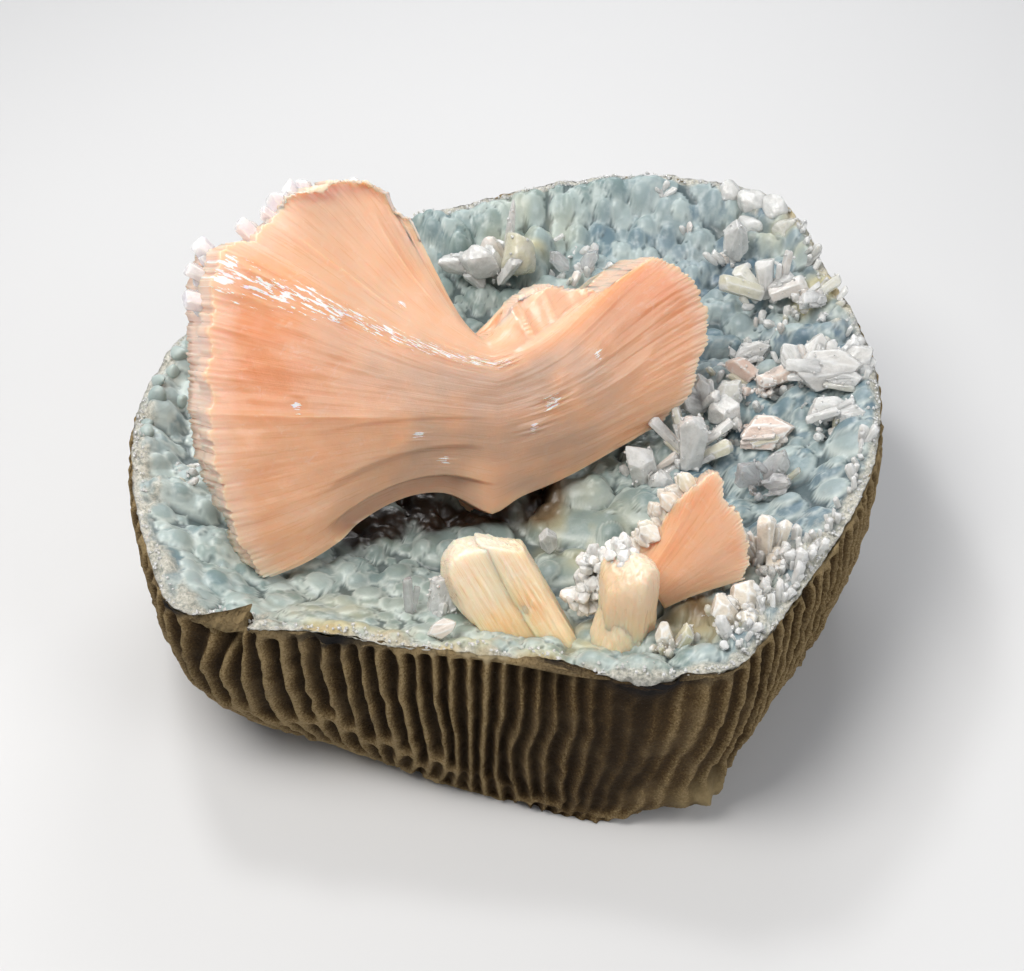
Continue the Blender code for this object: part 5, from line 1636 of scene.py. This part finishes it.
# Stout crystals at the fan's foot: foot, compass and lean, half sizes, how much they taper, planes of the
# top and sharpness
COLUMNS = {
    "fan_column": ((18.9, -49.0, 27.0), (80, 12), (4.9, 4.5, 10.4), -0.04,
                   ((0.45, -0.2, 1, 9.4), (-0.8, 0.3, 0.7, 7.4), (0.2, 0.9, 0.8, 9.0),
                    (0.1, -0.9, 0.8, 9.2)), 10.0),
    "fan_column_foot": ((18.2, -49.4, 25.4), (80, 9), (5.2, 4.8, 7.4), 0.22,
                        ((-0.4, -0.3, 1, 6.6), (0.5, -0.4, 1, 6.8)), 6.0),
}
FAN_SEED = 7
# White crystals at the fan's left side: middle, half sizes and how many grains
FAN_CRUSTS = (((15.2, -41.6, 40.4), (2.6, 2.2, 4.2), 60), ((13.0, -42.2, 36.0), (2.4, 2.0, 2.4), 34),
              ((17.6, -43.0, 44.8), (2.2, 2.0, 1.8), 26))
CRUST_LENGTHS = (1.6, 3.0)
CRUST_SHAPE = (1.0, 0.8, 0.7)
CRUST_DEPTH = 0.6
SCALE_LINE = ((-6.5, 10.6), (-4.0, 12.4), (-1.4, 15.4), (2.0, 20.4), (6.0, 23.4))
SCALE_COUNT = 30
SCALE_SIZES = (2.6, 4.5)
SCALE_SHAPE = (1.0, 0.75, 0.3)
SCALES_BEHIND = (-2.6, -0.2)
SCALES_IN_FRONT = (2.4, 3.2)


def fan_columns(material):
    for number, (name, (foot, turns, size, taper, top, sharp)) in enumerate(COLUMNS.items()):
        scale = size[0] / COLUMN_WIDTH
        planes = [(math.cos(math.radians(turn)), math.sin(math.radians(turn)), taper, gap * scale)
                  for turn, gap in COLUMN_SIDES]
        planes += list(top) + [(0, 0, -1, size[2])]
        place = lean_frame(foot, *turns, COLUMN_SPIN * number) @ Matrix.Translation((0, 0, size[2]))
        piece = large_crystal(name, place, planes, size, material, depth_finder(*COLUMN_DEPTHS),
                              COLUMN_SEED + number, sharp=sharp)
        keep(piece, "peach_crystal", "fan_crystal")


def fan_crust(material, draw):
    """White crystals in heaps at the fan's left side, each pointing out of its heap."""
    heap = Heap()
    for middle, halves, count in FAN_CRUSTS:
        for _ in range(count):
            out = Vector([draw.gauss(0, 1) for _ in range(3)]).normalized()
            spot = Vector(middle) + Vector([CRUST_DEPTH * half * part for half, part in zip(halves, out)])
            shape = shaped_chunk(draw.uniform(*CRUST_LENGTHS), CRUST_SHAPE, draw, 3)
            heap.add(shape, grown_frame(spot, out), draw.uniform(0.2, 0.75))
    keep(heap.piece("fan_crust", material), "clear_crystal", "fan_crystal")


def fan_scales(material, draw):
    """Pale scales along the fan's upper left edge, most of them behind it."""
    heap = Heap()
    for number in range(SCALE_COUNT):
        a, b = along_edge(SCALE_LINE, (number + draw.random()) / SCALE_COUNT)
        a, b = a + draw.uniform(-0.8, 1.4), b + draw.uniform(-1.0, 0.4)
        depth = draw.uniform(*(SCALES_BEHIND if number % 3 else SCALES_IN_FRONT))
        spot = Vector(np.array(FAN_FOOT) + a * FAN_PLANE[0] + b * FAN_PLANE[1] - depth * FAN_PLANE[2])
        grows = Vector((draw.uniform(-1.2, -0.4), draw.uniform(0.2, 0.6), draw.uniform(0.4, 0.9)))
        size = draw.uniform(*SCALE_SIZES)
        place = facing_frame(spot - 0.5 * size * grows.normalized(), grows)
        heap.add(plate(*(share * size for share in SCALE_SHAPE), draw, 3), place, draw.uniform(0.05, 0.95))
    keep(heap.piece("fan_coats", material), "clear_crystal", "fan_crystal")


def fan_crystal(materials):
    keep(front_fan(materials["peach"]), "peach_crystal", "fan_crystal")
    fan_columns(materials["honey"])
    draw = random.Random(FAN_SEED)
    fan_crust(materials["snowy"], draw)
    fan_scales(materials["pearl"], draw)


# Small crystals on the upper left edge of the bow-tie, and what carries it

# Where the tip is as (along, up) in the bow-tie's plane, lean from straight up, width, and how far it is in
# front of the plane
EDGE_CRYSTALS = ((-51.0, 19.0, 80, 3.4, -1.5), (-50.4, 23.8, 66, 2.4, -2.0), (-48.4, 28.2, 50, 2.8, -2.5),
                 (-41.0, 31.6, 48, 3.0, -5.0), (-36.8, 33.6, 55, 2.2, -5.0), (-34.8, 36.2, 42, 3.0, -5.6),
                 (-32.2, 37.6, 34, 2.8, -6.0), (-29.2, 38.8, 26, 2.4, -6.4), (-20.0, 39.4, 6, 1.6, -6.0))
EDGE_SEED = 19
EDGE_LENGTH = 7.0
EDGE_SINK = 0.4
EDGE_THICK = 0.85           # share of the width
# Stout crystals that carry the bow-tie: middle and half sizes
BOW_TIE_FEET = (((-2.5, -8.6, 31.0), (6.0, 4.6, 5.0)), ((5.0, -1.6, 32.0), (6.0, 4.6, 6.0)))
FEET_SEED = 29
FEET_SIDES = (10, 70, 130, 190, 250, 310)
FEET_WIDTH = 0.85
FEET_DEPTHS = (0.35, 0.0, 0.0, 0.3, 4.0, 3)


def edge_crystals(material):
    """Each spot has a large crystal and two smaller ones beside it."""
    draw = random.Random(EDGE_SEED)
    heap = Heap()
    for along, up, lean, width, front in EDGE_CRYSTALS:
        for first in (True, False, False):
            own = lean + (0 if first else draw.uniform(-14, 14))
            share = 1.0 if first else draw.uniform(0.5, 0.8)
            shift = 0.0 if first else draw.uniform(-2.0, 2.0)
            grows = Matrix.Rotation(math.radians(own), 3, FACING) @ UPWARD
            tip = WAIST + ALONG * along + UPWARD * up + FACING * (front + draw.uniform(-0.8, 0.8))
            start = tip - grows * (EDGE_LENGTH + EDGE_SINK + (1 - share) * 2.0) + grows.cross(FACING) * shift
            shape = chunk((0.5 + 0.5 * share) * EDGE_LENGTH, share * width, EDGE_THICK * share * width, draw,
                          4 if first else 3)
            heap.add(shape, grown_frame(start, grows), draw.random())
    keep(heap.piece("bow_tie_edge_crystals", material), "clear_crystal", "bow_tie_crystal")


def bow_tie_feet(material):
    draw = random.Random(FEET_SEED)
    for number, (middle, size) in enumerate(BOW_TIE_FEET, 1):
        planes = []
        for turn in np.radians(FEET_SIDES):
            slope = draw.uniform(0.1, 0.5)
            gap = FEET_WIDTH * size[0] * draw.uniform(0.8, 1.1)
            planes.append((math.cos(turn), math.sin(turn), slope, gap))
        planes += [(0, 0, 1, size[2]), (0, 0, -1, size[2])]
        piece = large_crystal(f"bow_tie_foot_{number}", Matrix.Translation(middle), planes, size, material,
                              depth_finder(*FEET_DEPTHS), 20 + number, tip=0.0, detail=5)
        keep(piece, "peach_crystal", "bow_tie_crystal")


# Tiny crystals on the lining and along its edge

STREWN_SEED = 83
# Areas with tufts: x, y, spread, how many
TUFT_AREAS = ((44.0, 6.0, 11.0, 16), (52.0, 8.0, 7.0, 12), (36.0, -2.0, 8.0, 8), (48.0, 28.0, 9.0, 8),
              (10.0, 42.0, 10.0, 7), (30.0, 44.0, 12.0, 5), (42.0, -36.0, 5.0, 12), (28.0, -46.0, 6.0, 5),
              (-52.0, -14.0, 7.0, 6))
TUFT_SPREAD = 0.6
TUFT_EDGE = 0.96            # no tufts outside this share of the way to the rim
TUFT_SIZES = (1.0, 2.8)
TUFT_LEANS = (10, 70)
TUFT_SHAPE = (1.3, 0.7, 0.5)
# Parts of the edge with druse: from one angle to another, how far in, how many
DRUSE_AREAS = ((302.0, 326.0, 7.0, 130), (326.0, 350.0, 3.0, 26), (2.0, 38.0, 2.6, 20))
DRUSE_INWARD = 1.6
DRUSE_SIZES = (0.7, 1.9)
DRUSE_LARGE = (2.2, 3.0)    # every ninth
DRUSE_LEANS = (5, 45)
DRUSE_SHAPE = (1.9, 0.75, 0.55)
# Rounded lumps on the edge, white on the right and like the lining on the left: angle, how far in, size
EDGE_LUMPS = ((44.0, 3.0, 4.8), (48.0, 3.4, 5.4), (52.0, 3.0, 4.4), (40.5, 3.2, 4.0), (46.0, 7.0, 4.0),
              (166.0, 3.0, 4.2), (170.5, 2.9, 4.8), (174.0, 3.4, 3.6), (177.5, 2.4, 3.4), (182.0, 3.6, 4.8),
              (186.0, 2.4, 3.0), (189.5, 3.0, 3.8), (160.0, 3.0, 4.0), (179.0, 6.6, 3.4), (172.0, 7.0, 3.0),
              (12.0, 2.8, 3.8), (6.0, 3.2, 4.4))
WHITE_SINK = 0.68
BLUE_SINK = 0.5
BLUE_SHARP = 3.0
BLUE_KNOBS = 0.04
GRAIN_SEED = 89
RIM_GRAINS = 900
BACK_GRAINS = (100.0, 60.0, 0.9)    # at this angle and within this width they keep so close to the edge


def tufts(height, heap, draw):
    for x, y, spread, count in TUFT_AREAS:
        reach = TUFT_SPREAD * spread
        spots = np.array([(draw.gauss(x, reach), draw.gauss(y, reach)) for _ in range(count)])
        share, _ = rim_share(*spots.T)
        for (a, b), z, out in zip(spots, height(spots), share):
            if out > TUFT_EDGE:
                continue
            for _ in range(draw.randint(2, 4)):
                size = draw.uniform(*TUFT_SIZES)
                spot = (a + draw.uniform(-0.8, 0.8), b + draw.uniform(-0.8, 0.8), z - 0.4 * size)
                foot = strewn_frame(spot, TUFT_LEANS, draw)
                heap.add(shaped_chunk(size, TUFT_SHAPE, draw, 2), foot, draw.random())


def druse(height, heap, draw):
    for low, high, depth, count in DRUSE_AREAS:
        angle = np.radians([draw.uniform(low, high) for _ in range(count)])
        inward = np.array([draw.uniform(DRUSE_INWARD, depth) for _ in range(count)])
        spots = inside_rim(angle, inward)
        for number, ((a, b), z) in enumerate(zip(spots, height(spots))):
            size = draw.uniform(*(DRUSE_SIZES if number % 9 else DRUSE_LARGE))
            foot = strewn_frame((a, b, z - 0.7 * size), DRUSE_LEANS, draw)
            heap.add(shaped_chunk(size, DRUSE_SHAPE, draw, 3), foot, draw.uniform(0.15, 0.85))


def edge_lumps(height, white, blue, draw):
    turn, inward, size = np.array(EDGE_LUMPS).T
    turn = np.radians(turn)
    spots = stack(*polar(around(RIM_RADII, turn) - inward, turn))
    for (a, b), z, wide in zip(spots, height(spots), size):
        sink = WHITE_SINK if a > 0 else BLUE_SINK
        foot = lean_frame((a, b, z - sink * wide), 0, 0, draw.uniform(0, 180))
        if a > 0:
            white.add(lump(wide, 1.2 * wide, wide, draw), foot, draw.uniform(0.12, 0.45))
        else:
            # Their high tone paints them paler, partly as a painted highlight on them
            blue.add(lump(wide, wide, wide, draw, BLUE_SHARP, BLUE_KNOBS), foot, draw.uniform(1.0, 1.4))


def scattered_crystals(height, materials):
    draw = random.Random(STREWN_SEED)
    milky, frosty, blue = Heap(), Heap(), Heap()
    tufts(height, milky, draw)
    druse(height, frosty, draw)
    edge_lumps(height, milky, blue, draw)
    keep(frosty.piece("rim_druse", materials["frosty"]), "clear_crystal")
    keep(blue.piece("edge_lumps", materials["lining"]), "chalcedony")
    keep(milky.piece("scattered_crystals", materials["milky"]), "clear_crystal")


def rim_grains(height, material):
    """White sugar-like grains on the lining's edge."""
    draw = random.Random(GRAIN_SEED)
    heap = Heap()
    angle = np.radians([draw.uniform(0, 360) for _ in range(RIM_GRAINS)])
    inward = np.array([0.3 + abs(draw.gauss(0, 0.9)) for _ in range(RIM_GRAINS)])
    back, width, most = BACK_GRAINS
    inward = np.where(turned(angle, back, width) > 0.5, np.minimum(inward, most), inward)
    spots = inside_rim(angle, inward)
    slope = EDGE_SLOPE * smooth(inward, EDGE_SLOPE_WIDTH, 0.0)
    for (a, b), z in zip(spots, height(spots) - slope):
        foot = lean_frame((a, b, z - 0.15), draw.uniform(0, 360), draw.uniform(0, 90), 0)
        heap.add(grain(draw.uniform(*GRAIN_SIZES)), foot, draw.uniform(0.05, 0.78))
    keep(heap.piece("rim_grains", material), "chalcedony")


# Camera, light and floor

CAMERA_TARGET = Vector((1.2, -13.0, 33.0))
CAMERA_DISTANCE = 366.0
CAMERA_ELEVATION = math.radians(42.0)
CAMERA_LENS = 75.0
CAMERA_NEAR = 0.01
SKY_COLOUR = (0.85, 0.9, 1.0)
SKY_STRENGTH = 0.22
# Lamps: place, what they are aimed at, size, power and colour
LAMPS = {
    "key": ((-160, -120, 420), (0, 0, 40), 220, 1.5, (1.0, 0.97, 0.93)),
    "fill": ((320, -260, 260), (0, 0, 30), 260, 0.7, (1.0, 1.0, 1.0)),
    "back": ((60, 330, 300), (0, 0, 40), 200, 0.6, (1.0, 1.0, 1.0)),
    "glint": ((-120, 120, 360), (-20, -5, 60), 60, 0.35, (1.0, 1.0, 1.0)),
}
FLOOR_GREY = (0.72, 0.72, 0.72)
FLOOR_HALF = 2.0            # metres


def set_camera():
    camera = in_scene("camera", bpy.data.cameras.new("camera"))
    camera.data.lens = CAMERA_LENS
    camera.data.clip_start = CAMERA_NEAR
    back = Vector((0.0, -math.cos(CAMERA_ELEVATION), math.sin(CAMERA_ELEVATION)))
    camera.location = (CAMERA_TARGET + back * CAMERA_DISTANCE) * MM
    camera.rotation_euler = (-back).to_track_quat("-Z", "Y").to_euler()
    bpy.context.scene.camera = camera


def set_lights():
    world = bpy.data.worlds.new("studio")
    bpy.context.scene.world = world
    world.use_nodes = True
    sky = world.node_tree.nodes["Background"]
    sky.inputs["Color"].default_value = (*SKY_COLOUR, 1.0)
    sky.inputs["Strength"].default_value = SKY_STRENGTH
    for name, (place, aim, size, power, colour) in LAMPS.items():
        lamp = bpy.data.lights.new(name, "AREA")
        lamp.size = size * MM
        lamp.energy = power
        lamp.color = colour
        light = in_scene(name, lamp)
        light.location = Vector(place) * MM
        light.rotation_euler = (Vector(aim) - Vector(place)).to_track_quat("-Z", "Y").to_euler()
    bpy.context.scene.view_settings.view_transform = "Standard"


def set_floor():
    bm = bmesh.new()
    bmesh.ops.create_grid(bm, x_segments=1, y_segments=1, size=FLOOR_HALF)
    mesh = bpy.data.meshes.new("floor")
    bm.to_mesh(mesh)
    bm.free()
    shader = Shader("pale_floor", Base_Color=FLOOR_GREY, Roughness=0.75, Specular_IOR_Level=0.2)
    mesh.materials.append(shader.material)
    floor = in_scene("floor", mesh)


def main():
    set_camera()
    set_lights()
    set_floor()
    materials = make_materials()
    lumps, bubbles = scatter_lumps(), scatter_bubbles()
    height = height_finder(lumps, bubbles)
    keep(host_rock(materials["rock"]), "rock", "host_rock")
    keep(chalcedony_lining(materials["lining"], lumps, bubbles), "chalcedony", "chalcedony_crust")
    keep(bow_tie(materials["peach"]), "peach_crystal", "bow_tie_crystal")
    bow_tie_feet(materials["peach"])
    edge_crystals(materials["lilac"])
    block_crystal(materials)
    fan_crystal(materials)
    crystal_groups(height, materials)
    scattered_crystals(height, materials)
    rim_grains(height, materials["milky"])


main()
